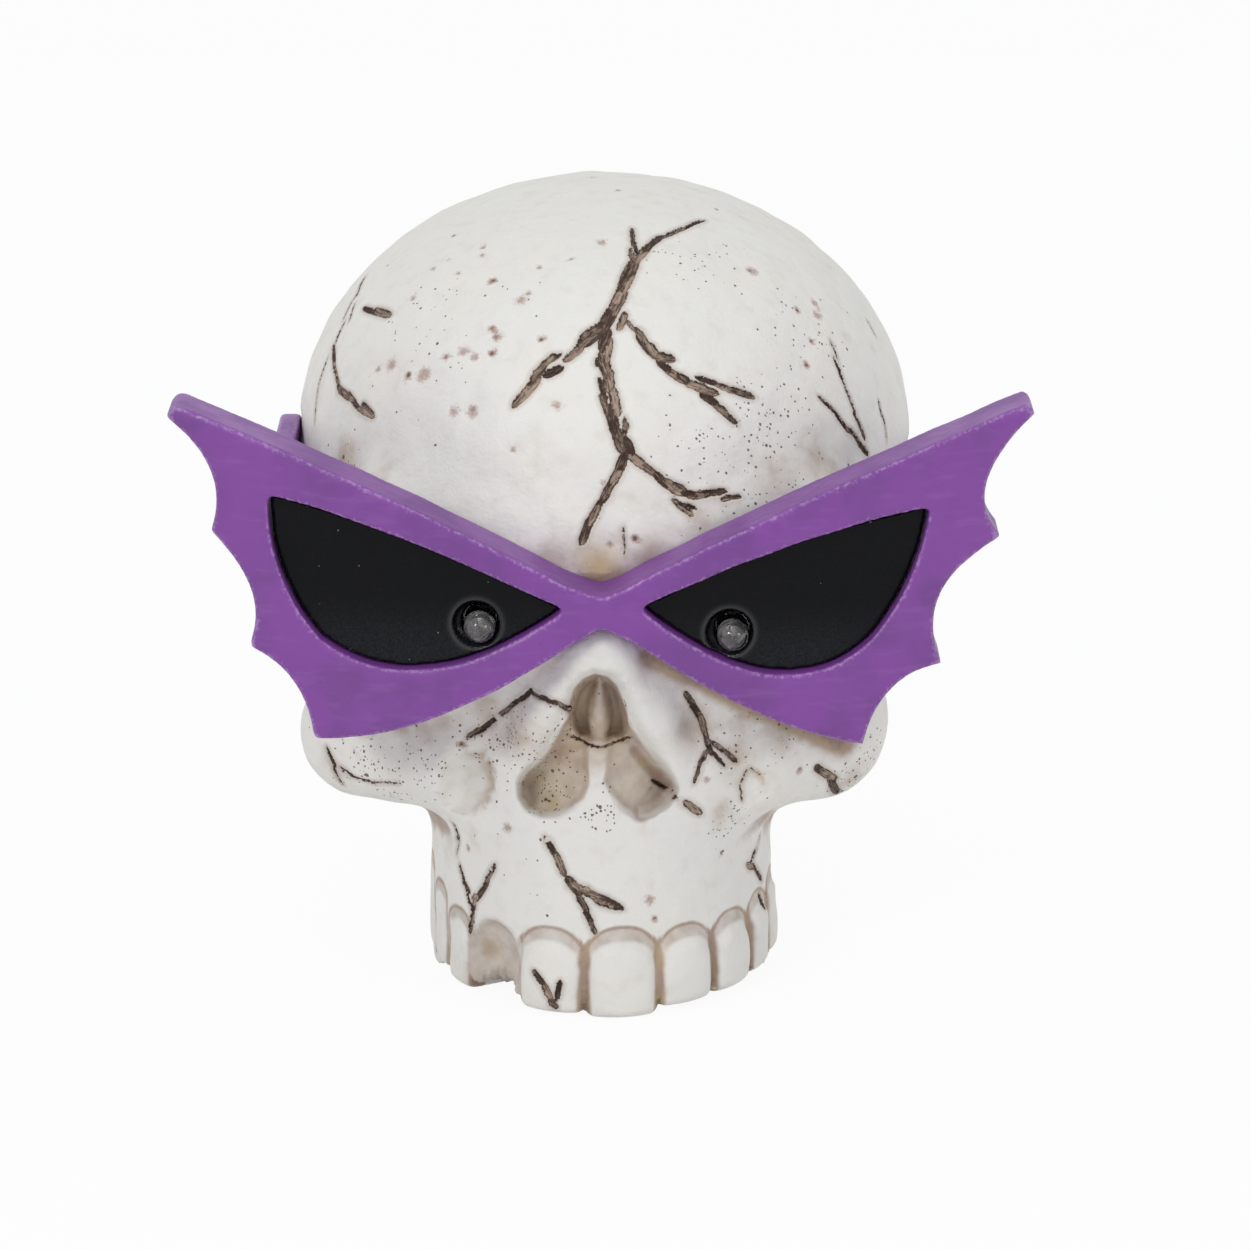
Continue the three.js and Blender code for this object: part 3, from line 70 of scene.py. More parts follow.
# Skull form, in shares of its width: balls, bars and blocks that melt together
SKULL_WIDTH = 104.4
SKULL_DEPTH = 125.0
SKULL_HEIGHT = 126.4
MASSES = [
    ("ball", (0, 0.077, 0.8), (0.5, 0.575, 0.411), 0, False),
    ("ball", (0, 0.287, 0.575), (0.364, 0.307, 0.326), 0.096, False),
    ("block", (0, 0.096, 0.153), (0.239, 0.383, 0.268), 0.115, 0.096, False),
    ("block", (0, -0.23, 0.498), (0.239, 0.23, 0.249), 0.115, 0.077, False),
    ("ball", (-0.005, -0.216, 0.096), (0.276, 0.309, 0.594), 0.057, False),
    ("bar", (0.067, -0.45, 0.757), (0.335, -0.359, 0.776), 0.062, 0.067, True),
    ("bar", (-0.005, -0.479, 0.699), (-0.005, -0.532, 0.618), 0.053, 0.038, False),
    ("bar", (-0.038, -0.536, 0.594), (-0.101, -0.479, 0.479), 0.031, 0.029, False),
    ("bar", (-0.101, -0.479, 0.479), (-0.129, -0.445, 0.393), 0.029, 0.029, False),
    ("bar", (0.029, -0.536, 0.594), (0.081, -0.484, 0.489), 0.031, 0.029, False),
    ("bar", (0.081, -0.484, 0.489), (0.11, -0.45, 0.393), 0.029, 0.029, False),
    ("bar", (-0.239, -0.354, 0.388), (-0.382, -0.249, 0.373), 0.094, 0.067, False),
    ("bar", (0.239, -0.354, 0.388), (0.346, -0.249, 0.37), 0.091, 0.067, False),
    ("bar", (-0.4, -0.211, 0.393), (-0.43, 0.077, 0.46), 0.053, 0.096, False),
    ("bar", (0.371, -0.211, 0.393), (0.416, 0.077, 0.46), 0.053, 0.096, False),
    ("ball", (0.259, -0.038, 0.364), (0.153, 0.268, 0.125), 0.077, True),
    ("bar", (0.383, -0.259, 0.45), (0.373, -0.268, 0.728), 0.048, 0.077, True),
    ("bar", (0.096, -0.45, 0.575), (0.345, -0.364, 0.498), 0.053, 0.057, True),
    ("block", (0.192, -0.421, 0.661), (0.125, 0.134, 0.086), 0.057, 0.038, True),
    ("bar", (0.354, 0.153, 0.479), (0.316, 0.125, 0.326), 0.077, 0.086, True),
]
HOLLOWS = [
    ("ball", (0.565, -0.172, 0.603), (0.134, 0.172, 0.125), 0.086, True),
    ("ball", (-0.209, -0.498, 0.345), (0.053, 0.057, 0.072), 0.029, False),
    ("ball", (0.23, -0.489, 0.345), (0.048, 0.057, 0.072), 0.029, False),
]

# Nose: bars in millimetres along its two rims
NOSE_RIMS = [
    ((-1.6, -58.6, 63.2), (-4.4, -56.6, 60.4)),
    ((-4.4, -56.6, 60.4), (-9.8, -52.0, 52.1)),
    ((-9.8, -52.0, 52.1), (-13.2, -48.2, 42.8)),
    ((0.8, -58.6, 63.2), (3.4, -56.6, 60.4)),
    ((3.4, -56.6, 60.4), (7.3, -52.2, 50.9)),
    ((7.3, -52.2, 50.9), (11.6, -48.0, 41.1)),
]
NOSE_RIM_RADIUS = 1.9
NOSE_PLUG = ((-0.5, -42.5, 48.0), (27.0, 13.0, 30.0))  # middle and sides of what fills the CAD's plainer hollow
NOSE_FRONT = -36.0  # the nose's forms lie ahead of this, in millimetres
# Its hollows, outlined in the pixels of the view described below
NOSE_CHAMBER = [
    (576, 741), (568, 728), (566, 714), (568, 699), (573, 687), (582, 677), (595, 671), (609, 675), (619, 685), (625, 698),
    (630, 714), (631, 730), (628, 741), (614, 742), (601, 748), (588, 743),
]
NOSE_LEFT_LOBE = [
    (590, 722), (570, 708), (559, 726), (549, 746), (538, 760), (526, 770), (519, 783), (519, 796), (527, 808), (541, 815),
    (557, 815), (573, 809), (586, 800), (592, 786), (592, 760), (594, 740),
]
NOSE_RIGHT_LOBE = [
    (612, 724), (630, 720), (645, 741), (657, 757), (669, 773), (676, 789), (668, 804), (654, 814), (639, 820), (621, 809),
    (608, 796), (600, 782), (601, 765), (602, 745),
]
NOSE_MIDDLE = [(574, 726), (601, 724), (626, 726), (614, 760), (606, 778), (597, 788), (588, 778), (582, 760)]
# Shallow dents in the same view: middle, half width and height in pixels, turn in degrees, depth in millimetres, wash
DENTS = [
    (466, 781, 31, 35, 20, 2.2, 0.5), (753, 781, 12, 16, -12, 0.7, 0.3), (425, 762, 14, 9, 0, 0.5, 0.35),
]

# Tooth arch: half an ellipse that runs on straight behind it
ARCH_HALF_WIDTH = 0.283 * SKULL_WIDTH
ARCH_DEPTH = 0.272 * SKULL_DEPTH
ARCH_BACK = -0.456 * SKULL_DEPTH + ARCH_DEPTH
ARCH_LENGTH = 0.475 * SKULL_WIDTH
RIGHT_TEETH = [
    (-0.06, 0.197, 0.123, 0.0),
    (0.2, 0.423, 0.117, 0.009),
    (0.426, 0.64, 0.117, 0.01),
    (0.643, 0.82, 0.12, 0.012),
    (0.823, 1.0, 0.13, 0.014),
    (1.003, 1.16, 0.14, 0.016),
]
LEFT_TEETH = [
    (0.073, 0.313, 0.12, 0.004),
    (0.533, 0.695, 0.112, 0.004),
    (0.698, 0.85, 0.13, 0.012),
    (0.853, 1.005, 0.15, 0.014),
    (1.008, 1.16, 0.16, 0.016),
]
MISSING_TOOTH = (0.3, 0.545, 0.109, -0.05)
TOOTH_BITE = 0.075 * SKULL_DEPTH
GUM_LIFT = 0.017 * SKULL_HEIGHT
GUM_BACK = -0.243 * SKULL_DEPTH
TOOTH_TOP_SHARE = 0.92  # radius of a tooth's arched top, of its half width
TOOTH_SIDE_GAP = 0.32
TOOTH_EDGE = 1.9
TOOTH_CORNER = 1.6
TOOTH_CROWN = 0.045
GUM_RIM = 2.0
GUM_RIM_BACK = 0.55
SOCKET_LIFT = 3.4
SOCKET_SHORTER = 2.4
SOCKET_DEPTH = 4.4

# Glasses in millimetres and shares of their span and rise, as in the CAD frame
GLASSES_SPAN = 139.0
GLASSES_RISE = 54.6
GLASSES_THICKNESS = 10.0
GLASSES_WRAP_RADIUS = 238.0
GLASSES_FRONT = -0.512 * SKULL_DEPTH
EYE_LINE = 0.5427 * SKULL_HEIGHT
EYE_TILT = 0.0055 * SKULL_HEIGHT
EYE_HALF_SPACING = 0.145 * GLASSES_SPAN
LED_SIDE_SHIFT = 0.6
LENS_RECESS = 2.0
LENS_THICKNESS = 6.4
LENS_DISH = 0.9
BRIDGE_TOP = (-0.002, 0.112)
BRIDGE_FOOT = (-0.002, 0.016)
LEFT_WING = [
    (-0.012, 0.115, -0.045, 0.149),
    (-0.22, 0.4, -0.484, 0.641),
    (-0.491, 0.641, -0.5, 0.604),
    (-0.422, 0.465, -0.45, 0.268),
    (-0.38, 0.101, -0.408, -0.075),
    (-0.342, -0.14, -0.334, -0.35),
    (-0.2, -0.34, -0.037, -0.037),
]
RIGHT_WING = [
    (0.01, 0.115, 0.045, 0.165),
    (0.22, 0.4, 0.483, 0.645),
    (0.49, 0.645, 0.494, 0.615),
    (0.404, 0.405, 0.458, 0.25),
    (0.352, 0.115, 0.391, -0.125),
    (0.318, -0.15, 0.301, -0.36),
    (0.19, -0.31, 0.04, -0.035),
]
LENS_OUTLINES = {
    "left": [
        (-0.044, 0.071), (-0.25, 0.325, -0.382, 0.39), (-0.386, 0.14, -0.324, -0.04), (-0.21, -0.245, -0.044, 0.071),
    ],
    "right": [
        (0.043, 0.077), (0.22, 0.295, 0.374, 0.354), (0.362, 0.12, 0.308, -0.04), (0.205, -0.275, 0.043, 0.077),
    ],
}

# The view of the photograph: a long lens, 17 degrees above the horizon
VIEW_ELEVATION = math.radians(17)
VIEW_DISTANCE = 800.0
VIEW_FOCAL = 5040.0  # in pixels of a 1250 frame
VIEW_FRAME = 1250.0
VIEW_TARGET = (3.57, -64.0, 69.4)
VIEW_RISE = 5 / 6.3
SENSOR = 36.0
VIEW_FORWARD = (0, math.cos(VIEW_ELEVATION), -math.sin(VIEW_ELEVATION))
VIEW_UP = (0, math.sin(VIEW_ELEVATION), math.cos(VIEW_ELEVATION))
CHIP_LONGEST = 14.0  # a longer chip has one end on another surface

# Cracks are rows of long chips. Each is seen in that view, in its pixels: from, to, width in millimetres
CRACK_CHIPS = [
    (705, 220, 680, 231, 0.65), (688.3, 226.7, 661.7, 238.3, 0.86), (663.3, 235, 640, 253.3, 1.18),
    (650, 245, 630, 266.7, 1.4), (632, 227.7, 633.3, 247.3, 0.65), (634.3, 240, 636.7, 255, 0.54),
    (630, 247.3, 631.7, 260, 0.54), (636.7, 256.7, 620, 293.3, 1.83), (633.3, 270, 613.3, 306.7, 1.61),
    (625, 288.3, 608.3, 320, 1.83), (616.7, 303.3, 600, 333.3, 1.94), (626, 311.7, 618.3, 330.7, 1.08),
    (610, 321.7, 580, 338.3, 1.4), (606.7, 326.7, 583.3, 346.7, 1.4), (600, 330, 573.3, 351.7, 1.08),
    (590, 331.7, 576.7, 343.3, 0.65), (583.3, 346.7, 563.3, 361.7, 1.18), (561.7, 353.3, 546.7, 363.3, 0.75),
    (563.3, 366.7, 543.3, 376.7, 1.4), (555, 353.3, 530, 380, 0.97), (546.7, 363.3, 526.7, 390, 1.08),
    (540, 376.7, 516.7, 403.3, 1.4), (530, 386.7, 512, 408, 1.18), (608.3, 326.7, 601.7, 351.7, 1.61),
    (610, 336.7, 605, 366.7, 1.29), (601.7, 350, 608.3, 380, 1.61), (597.3, 356.7, 596.7, 367.3, 0.54),
    (608.3, 366.7, 610, 393.3, 1.51), (598.7, 376.7, 606.7, 403.3, 0.75), (611.7, 386.7, 618.3, 416.7, 1.4),
    (600, 393.3, 611.7, 423.3, 0.86), (608.3, 403.3, 616.7, 436.7, 1.61), (625, 416.7, 625, 433.3, 0.65),
    (615, 426.7, 623.3, 453.3, 1.61), (624, 436.7, 633.3, 456.7, 1.4), (628.3, 423.3, 621.7, 440, 0.65),
    (625, 453.3, 618.3, 473.3, 1.4), (621.7, 466.7, 610, 486.7, 1.29), (613.3, 480, 601.7, 501.7, 1.18),
    (610, 493.3, 595, 508.3, 0.86), (600, 503.3, 588.3, 526.7, 1.18), (590.7, 516.7, 581, 545.7, 1.29),
    (628.3, 453.3, 646.7, 468.3, 1.29), (636.7, 460, 658.3, 476.7, 1.08), (653.3, 471.7, 670, 488.3, 1.18),
    (663.3, 480, 683.3, 495, 1.4), (670, 483.3, 686.7, 490, 0.86), (680, 491.7, 700, 496.7, 1.08),
    (686.7, 496.7, 713.3, 493.3, 1.08), (696.7, 495, 727.3, 490.7, 0.97), (671.7, 498.3, 694, 516.7, 0.86),
    (676.7, 504, 686.7, 511.7, 0.75), (683.3, 503.3, 696.7, 509, 0.54), (720.7, 500, 733.3, 496.7, 0.75),
    (732, 497.3, 741.3, 496.7, 0.65), (626.7, 320, 635, 330.7, 0.65), (635, 326.7, 648.3, 346.7, 1.08),
    (636.7, 333.3, 653.3, 356.7, 1.18), (646.7, 341.7, 660, 360, 1.29), (650, 354, 675.7, 360, 1.51),
    (656.7, 360, 676.7, 376.7, 1.18), (663.3, 366.7, 686.7, 383.3, 1.29), (676.7, 373.3, 693.3, 386.7, 1.18),
    (683.3, 381.7, 710, 390, 1.29), (693.3, 386.7, 719.3, 394, 1.29), (695, 376.7, 720, 385, 0.86),
    (713.3, 383.3, 740, 393.3, 0.97), (726.7, 388.3, 755.7, 398, 1.08), (700, 393.3, 720, 406.7, 1.18),
    (710, 400, 730, 416.7, 1.18), (719.3, 408.3, 737.3, 424, 0.97), (381.7, 253.3, 366.7, 275, 0.43),
    (365.7, 276, 356.7, 296.7, 0.43), (357.3, 293.3, 343.3, 320, 0.54), (355, 303.3, 349.3, 321.7, 0.43),
    (345.7, 320, 334.3, 347.3, 0.54), (333.3, 345, 335, 366.7, 0.86), (333.3, 360, 340, 390, 0.97),
    (336.7, 386.7, 353.3, 400.7, 1.18), (346.7, 391.7, 360, 410.7, 0.97), (355, 406.7, 375, 417.3, 0.97),
    (361.7, 402.7, 374, 416, 0.86), (362.7, 307.7, 380, 314, 0.97), (370.7, 310, 391.3, 316, 1.4),
    (328.3, 356.7, 318.3, 386.7, 0.43), (318.3, 386.7, 315, 423.3, 0.38), (817.7, 396, 836.7, 414, 0.65),
    (833.3, 410, 850, 434, 0.75), (846.7, 426.7, 862.3, 447.3, 0.75), (856.7, 440, 868.7, 455.7, 0.97),
    (830, 340, 838.3, 360.7, 0.43), (833.3, 356.7, 845, 387.3, 0.54), (836.7, 361.7, 846.7, 393.3, 0.43),
    (845, 386.7, 856.7, 417.3, 0.48), (852.7, 411.7, 865.3, 440.7, 0.65), (878.3, 400, 881.7, 417.3, 0.54),
    (881.7, 413.3, 886.7, 440.7, 0.43), (866.7, 320, 875, 335.7, 0.43), (623.3, 526.7, 625.3, 556.7, 0.27),
    (466.7, 737.3, 481.7, 727.7, 0.75), (476, 734, 498.3, 716.7, 0.81), (493.3, 720.7, 510.7, 707.3, 0.75),
    (503.3, 714, 524, 696, 0.7), (520, 700.7, 532.3, 688.7, 0.81), (529.3, 690, 544, 700, 0.65),
    (540.7, 695, 560.7, 704, 0.86), (553.3, 699.3, 572, 708.7, 0.81), (684.3, 691, 695, 707.3, 0.86),
    (691, 702.7, 702, 720.7, 0.97), (700, 713.3, 706.7, 737.3, 0.97), (705, 732.7, 712, 755.7, 0.86),
    (711, 741, 727.3, 753.3, 0.75), (723.3, 749.3, 737.3, 762.3, 0.75), (707.7, 746.7, 725.3, 766.7, 0.54),
    (707.3, 749.3, 698.3, 767.3, 0.75), (700.3, 762.7, 693.7, 784, 0.65), (651, 779.3, 667.3, 788.7, 0.54),
    (656, 783.3, 679, 800, 0.86), (673.3, 796, 690.7, 807.3, 1.08), (683.3, 801, 702.3, 814.7, 1.08),
    (652, 786.7, 638, 818.7, 0.22), (814.3, 766, 827.3, 775, 1.18), (820, 770, 837.3, 780.7, 1.29),
    (828.3, 776.7, 837.3, 794, 1.18), (831.7, 790, 844, 797.3, 1.08), (326.7, 746.7, 336.7, 767.3, 0.54),
    (333.3, 763.3, 343.3, 785.3, 0.43), (340, 766.7, 357.3, 778.7, 0.54), (353.3, 776.7, 377.3, 783.7, 0.43),
    (373.3, 782.7, 399, 783, 0.32), (544.3, 836, 556.7, 857.3, 0.97), (554.3, 850.7, 565.3, 877.3, 1.08),
    (566, 876.7, 580.7, 894.7, 1.4), (566, 884, 590.7, 892, 1.18), (578.3, 889.3, 602.3, 898.7, 1.18),
    (596.7, 895, 624, 910, 1.08), (594, 901, 620.7, 909, 0.86), (576.7, 893.3, 588.7, 914, 0.97),
    (584.3, 910, 592, 924, 0.86), (587.7, 916.7, 596.3, 935.3, 0.75), (455, 826.7, 456.7, 854, 0.32),
    (459.3, 863.3, 465.3, 884, 0.65), (462.7, 880, 470.3, 894, 0.97), (466, 890, 472, 910.7, 0.54),
    (495.7, 864.3, 484.3, 884, 0.86), (489, 880, 476, 900.7, 0.97), (475.3, 893.3, 473, 910.7, 1.08),
    (473.7, 908.3, 469.7, 934, 0.86), (532.7, 969.3, 545.3, 987.3, 0.97), (542.7, 982.7, 552, 1000.7, 1.08),
    (549.3, 999.3, 557.3, 1009.3, 1.08), (560.3, 980, 556.3, 1000.7, 0.86), (556, 1002.7, 574, 1015.7, 0.86),
    (760.3, 834.3, 755, 854, 0.43), (755, 850, 749.7, 867.3, 0.75), (746, 865, 755.3, 866.7, 1.08),
    (753.3, 866, 762, 880.7, 0.86), (758, 893.3, 765.3, 909, 1.08), (453.3, 822.7, 456.7, 840.7, 0.43),
    (569, 736, 584, 742, 0.42), (582, 741, 601, 748, 0.5), (599, 748, 617, 741, 0.42), (615, 742, 632, 737, 0.36),
    (748.3, 768.3, 740, 785.7, 0.27), (740, 785, 742, 800.7, 0.22), (749, 767.7, 760.7, 776.7, 0.22),
]
# Pits on the forehead in the same view: place and radius in millimetres
PITS = [
    (539, 267, 0.55), (493, 280, 0.6), (521, 300, 0.9), (529, 293, 0.5), (491, 328, 0.7), (497, 337, 0.9),
    (463, 351, 1.0), (474, 357, 0.8), (493, 353, 0.8), (445, 357, 0.7), (378, 369, 0.6), (391, 365, 1.2),
    (407, 376, 0.8), (423, 375, 1.5), (453, 412, 0.9), (472, 412, 1.1), (542, 339, 0.6), (572, 259, 0.4),
    (602, 242, 0.8), (454, 235, 0.5), (433, 268, 0.5), (458, 273, 0.5), (413, 298, 0.6), (449, 259, 0.4),
    (483, 247, 0.6), (482, 255, 0.5), (753, 271, 1.0), (798, 310, 0.7), (818, 315, 1.0), (815, 303, 0.8),
    (807, 365, 0.8), (813, 342, 0.6), (513, 450, 0.5), (603, 483, 0.5), (637, 540, 0.8), (610, 545, 0.6),
    (717, 209, 0.5), (593, 177, 0.5), (618, 190, 0.5), (557, 405, 0.8), (650, 900, 0.9), (655, 920, 0.6),
    (463, 745, 0.8), (468, 848, 0.6), (507, 828, 0.9), (722, 853, 0.5), (800, 771, 0.8), (707, 780, 0.6),
]
PIT_SCALE = 1.3
# Clusters of fine speckles and blots of brown stain: place in the view, radius in millimetres, strength
SPECKLES = [
    (760, 430, 8, 0.6), (730, 470, 9, 0.5), (700, 450, 7, 0.35), (780, 400, 6, 0.4), (520, 745, 7, 0.9), (478, 745, 6, 0.6),
    (420, 765, 6, 0.7), (375, 775, 6, 1.0), (395, 792, 4, 0.8), (548, 775, 5, 0.9), (600, 812, 3, 0.9), (730, 820, 4, 0.9),
    (850, 780, 5, 0.9), (870, 760, 4, 0.7), (700, 260, 8, 0.25), (560, 735, 5, 0.6), (360, 800, 5, 0.5), (740, 745, 6, 0.5),
    (350, 900, 5, 0.3), (520, 860, 8, 0.15), (440, 330, 12, 0.12), (810, 330, 7, 0.4), (780, 490, 6, 0.3), (345, 460, 5, 0.5),
    (548, 790, 5, 0.9), (580, 770, 4, 0.5), (600, 800, 2.5, 0.6), (365, 782, 3, 1.2), (383, 790, 3, 1.2), (418, 780, 2, 1.2),
    (372, 800, 2, 1.2), (575, 700, 3, 0.5), (622, 700, 3, 0.4), (770, 740, 6, 0.4),
]
WASHES = [
    (600, 572, 6, 0.9), (560, 560, 5, 0.5), (650, 560, 6, 0.5), (700, 520, 7, 0.3), (345, 458, 5, 0.6), (385, 470, 5, 0.3),
    (820, 460, 6, 0.5), (775, 480, 7, 0.35), (540, 460, 9, 0.14), (645, 505, 6, 0.28), (520, 735, 7, 0.5), (480, 700, 6, 0.5),
    (420, 730, 6, 0.35), (690, 725, 6, 0.5), (740, 760, 6, 0.45), (720, 812, 4, 0.4),
    (780, 740, 6, 0.35), (335, 770, 5, 0.4), (850, 780, 5, 0.4), (790, 830, 4, 0.3), (450, 850, 4, 0.3), (560, 790, 4, 0.35),
    (650, 800, 4, 0.35), (600, 730, 5, 0.75), (490, 950, 4, 0.7), (480, 975, 4, 0.6), (860, 350, 6, 0.15), (320, 380, 5, 0.15),
]
OCHRES = [
    (550, 795, 7, 1.0), (632, 785, 5, 0.55), (585, 700, 4, 0.8), (600, 560, 6, 0.9), (770, 750, 7, 0.9), (735, 815, 4, 1.0),
    (545, 465, 9, 1.0), (640, 500, 8, 0.8), (350, 460, 6, 0.8), (700, 505, 8, 0.8), (740, 520, 6, 0.9), (470, 730, 5, 0.7),
    (660, 1000, 2, 1.0), (440, 800, 5, 0.8), (760, 790, 5, 1.0), (850, 500, 6, 0.6), (665, 955, 3, 0.8), (870, 775, 5, 0.7),
]

# Painted shade laid on as brown stain along lines: the frame's shadow on the bone under it and the shade in the nose's
# lobes, with stain along the frame's top edge: from, to, reach in pixels, strength
SHADES = [
    (655, 655, 840, 741, 15, 1.45), (548, 665, 330, 748, 9, 0.14), (560, 655, 530, 680, 8, 0.4), (634, 751, 664, 786, 9, 0.95),
    (562, 750, 586, 743, 10, 1.0), (556, 768, 562, 752, 8, 0.75), (620, 590, 760, 510, 7, 0.35),
    (580, 585, 520, 545, 7, 0.3),
]

# Turned parts of an LED: radius and distance from its back, in millimetres
LED_RADIUS = 2.5
LED_DOME_START = 6.1
LED_FLANGE = [(2.8, 0.0), (2.9, 0.1), (2.9, 0.9), (2.8, 1.0), (2.52, 1.02), (2.5, 1.15)]
LED_INSIDES = [
    ("cup", -0.45, [(0.35, 0.6), (0.4, 2.6), (0.95, 3.2), (1.25, 4.1), (1.15, 4.1), (0.55, 3.5), (0.1, 3.48)], 28),
    ("post", 1.27, [(0.3, 0.6), (0.32, 2.8), (0.55, 3.2), (0.5, 4.0), (0.2, 4.2)], 12),
]
LED_SHARP_ANGLE = 35

# Lamps: name, place and size in metres, and the setting that holds the power
LAMPS = [
    ("key_lamp", (-0.62, -0.92, 0.72), 0.34, "key_power"),
    ("fill_lamp", (0.9, -0.8, 0.45), 0.4, "fill_power"),
    ("top_lamp", (0.05, -0.1, 1.3), 0.9, "top_power"),
]
LAMP_AIM = (0, -0.02, 0.06)


# Settings a user would change

COLOUR = {"subtype": "COLOR", "size": 3, "min": 0, "max": 1}


class SkullSettings(bpy.types.PropertyGroup):
    grid: FloatProperty(
        name="Surface grid", description="Mesh size of the casting", default=1.41 * MM, min=0.0005, unit="LENGTH"
    )
    crack_scale: FloatProperty(
        name="Crack width", description="Width of every crack against the modelled one", default=1.15, min=0.1, max=3
    )
    bone: FloatVectorProperty(
        name="Bone white", description="Paint of the casting", default=(0.78, 0.768, 0.728), **COLOUR
    )
    # Colour of the brown stain, which also paints the shade under the frame, in the nose and between the teeth
    wash: FloatVectorProperty(name="Brown wash", description="Stain in creases", default=(0.36, 0.255, 0.2), **COLOUR)
    ochre: FloatVectorProperty(
        name="Ochre wash", description="Yellow part of the stain", default=(0.5, 0.385, 0.23), **COLOUR
    )
    crack: FloatVectorProperty(
        name="Crack brown", description="Darkest colour in a crack", default=(0.06, 0.03, 0.019), **COLOUR
    )


class GlassesSettings(bpy.types.PropertyGroup):
    grid: FloatProperty(
        name="Frame grid", description="Mesh size of the glasses", default=0.48 * MM, min=0.0002, unit="LENGTH"
    )
    purple: FloatVectorProperty(
        name="Purple", description="Paint of frame and arms", default=(0.213, 0.052, 0.318), **COLOUR
    )
    # Pale edge colour: thin, worn paint together with a painted highlight
    wear_and_highlight: FloatVectorProperty(
        name="Worn edge", description="Paint where it is thin", default=(0.52, 0.34, 0.62), **COLOUR
    )
    black: FloatVectorProperty(
        name="Lens black", description="Paint of the lenses", default=(0.0012, 0.0013, 0.002), **COLOUR
    )
    epoxy: FloatVectorProperty(
        name="LED body", description="Tint of the clear LEDs", default=(0.5, 0.5, 0.53), **COLOUR
    )


class StageSettings(bpy.types.PropertyGroup):
    key_power: FloatProperty(name="Key light", description="Strength of the main lamp in watts", default=4.0, min=0)
    fill_power: FloatProperty(
        name="Fill light", description="Strength of the second lamp in watts", default=2.0, min=0
    )
    top_power: FloatProperty(name="Top light", description="Strength of the lamp above in watts", default=2.5, min=0)
    floor_size: FloatProperty(name="Floor", description="Side of the floor", default=6.0, min=1, unit="LENGTH")


# Working with meshes


def select_only(*objects):
    bpy.ops.object.select_all(action="DESELECT")
    for obj in objects:
        obj.select_set(True)
    bpy.context.view_layer.objects.active = objects[0]


def read(items, field, width, kind=float):
    """A field of every vertex, edge or face, one row for each."""
    values = np.empty(len(items) * width, dtype=kind)
    items.foreach_get(field, values)
    return values.reshape(-1, width)


def points_of(obj):
    return read(obj.data.vertices, "co", 3)


def set_points(obj, points):
    obj.data.vertices.foreach_set("co", np.asarray(points, dtype=np.float32).ravel())
    obj.data.update()


def edges_of(obj):
    return read(obj.data.edges, "vertices", 2, np.int64)


def normals_of(obj):
    return read(obj.data.vertex_normals, "vector", 3, np.float32).astype(float)


def face_centres(obj):
    return read(obj.data.polygons, "center", 3)


def face_sizes(obj):
    """The side of a square of each face's area."""
    return np.sqrt(read(obj.data.polygons, "area", 1)[:, 0])


def store(obj, name, values):
    kind = "FLOAT_VECTOR" if values.ndim == 2 else "FLOAT"
    attribute = obj.data.attributes.new(name, kind, "POINT")
    attribute.data.foreach_set("vector" if values.ndim == 2 else "value", values.astype(np.float32).ravel())


def evened(points, ends, rounds, weight=0.5):
    """Each point drawn towards the middle of the points beside it."""
    count = np.bincount(ends.ravel(), minlength=len(points)).clip(1)
    for _ in range(rounds):
        total = np.stack(
            [
                np.bincount(ends[:, 0], points[ends[:, 1], k], len(points))
                + np.bincount(ends[:, 1], points[ends[:, 0], k], len(points))
                for k in range(3)
            ],
            axis=1,
        )
        points = points + np.asarray(weight) * (total / count[:, None] - points)
    return points


def hollowness(obj, rounds):
    """How far each point lies below the surface evened around it, in millimetres; negative on an edge."""
    points = points_of(obj)
    away = evened(points, edges_of(obj), rounds) - points
    return (away * normals_of(obj)).sum(1) / MM


def smoothstep(low, high, x):
    t = np.clip((x - low) / (high - low), 0, 1)
    return t * t * (3 - 2 * t)


def bell(x, width):
    return np.exp(-((x / width) ** 2))


def new_object(name, data):
    obj = bpy.data.objects.new(name, data)
    bpy.context.scene.collection.objects.link(obj)
    return obj


def added(add, **values):
    """The object that an operator adds, selected alone."""
    bpy.ops.object.select_all(action="DESELECT")
    add(**values)
    return bpy.context.view_layer.objects.active


def apply_place():
    bpy.ops.object.transform_apply(location=True, rotation=True, scale=True)


def merge_doubles(obj, reach, turn_out=False):
    """Merges points that lie within reach, and points the faces outwards where that is asked."""
    select_only(obj)
    bpy.ops.object.mode_set(mode="EDIT")
    bpy.ops.mesh.select_all(action="SELECT")
    bpy.ops.mesh.remove_doubles(threshold=reach)
    if turn_out:
        bpy.ops.mesh.normals_make_consistent(inside=False)
    bpy.ops.object.mode_set(mode="OBJECT")


def copy_of_node(node, name):
    """A merged copy of a CAD node's mesh, for a finer piece that stands for it."""
    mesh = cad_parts[node].data.copy()
    mesh.name = name
    mesh.materials.clear()
    obj = new_object(name, mesh)
    merge_doubles(obj, 0.001 * MM)
    return obj


def apply_modifier(obj, kind, **values):
    select_only(obj)
    modifier = obj.modifiers.new(kind.title(), kind)
    for key, value in values.items():
        setattr(modifier, key, value)
    bpy.ops.object.modifier_apply(modifier=modifier.name)


def regrid(obj, size):
    apply_modifier(obj, "REMESH", mode="VOXEL", voxel_size=size, use_smooth_shade=True)


def divide_faces(obj, chosen):
    """Subdivides the chosen faces once."""
    select_only(obj)
    bpy.context.tool_settings.mesh_select_mode = (False, False, True)
    bpy.ops.object.mode_set(mode="EDIT")
    bpy.ops.mesh.select_all(action="DESELECT")
    bpy.ops.object.mode_set(mode="OBJECT")
    obj.data.polygons.foreach_set("select", chosen)
    bpy.ops.object.mode_set(mode="EDIT")
    bpy.ops.mesh.subdivide(number_cuts=1)
    bpy.ops.object.mode_set(mode="OBJECT")


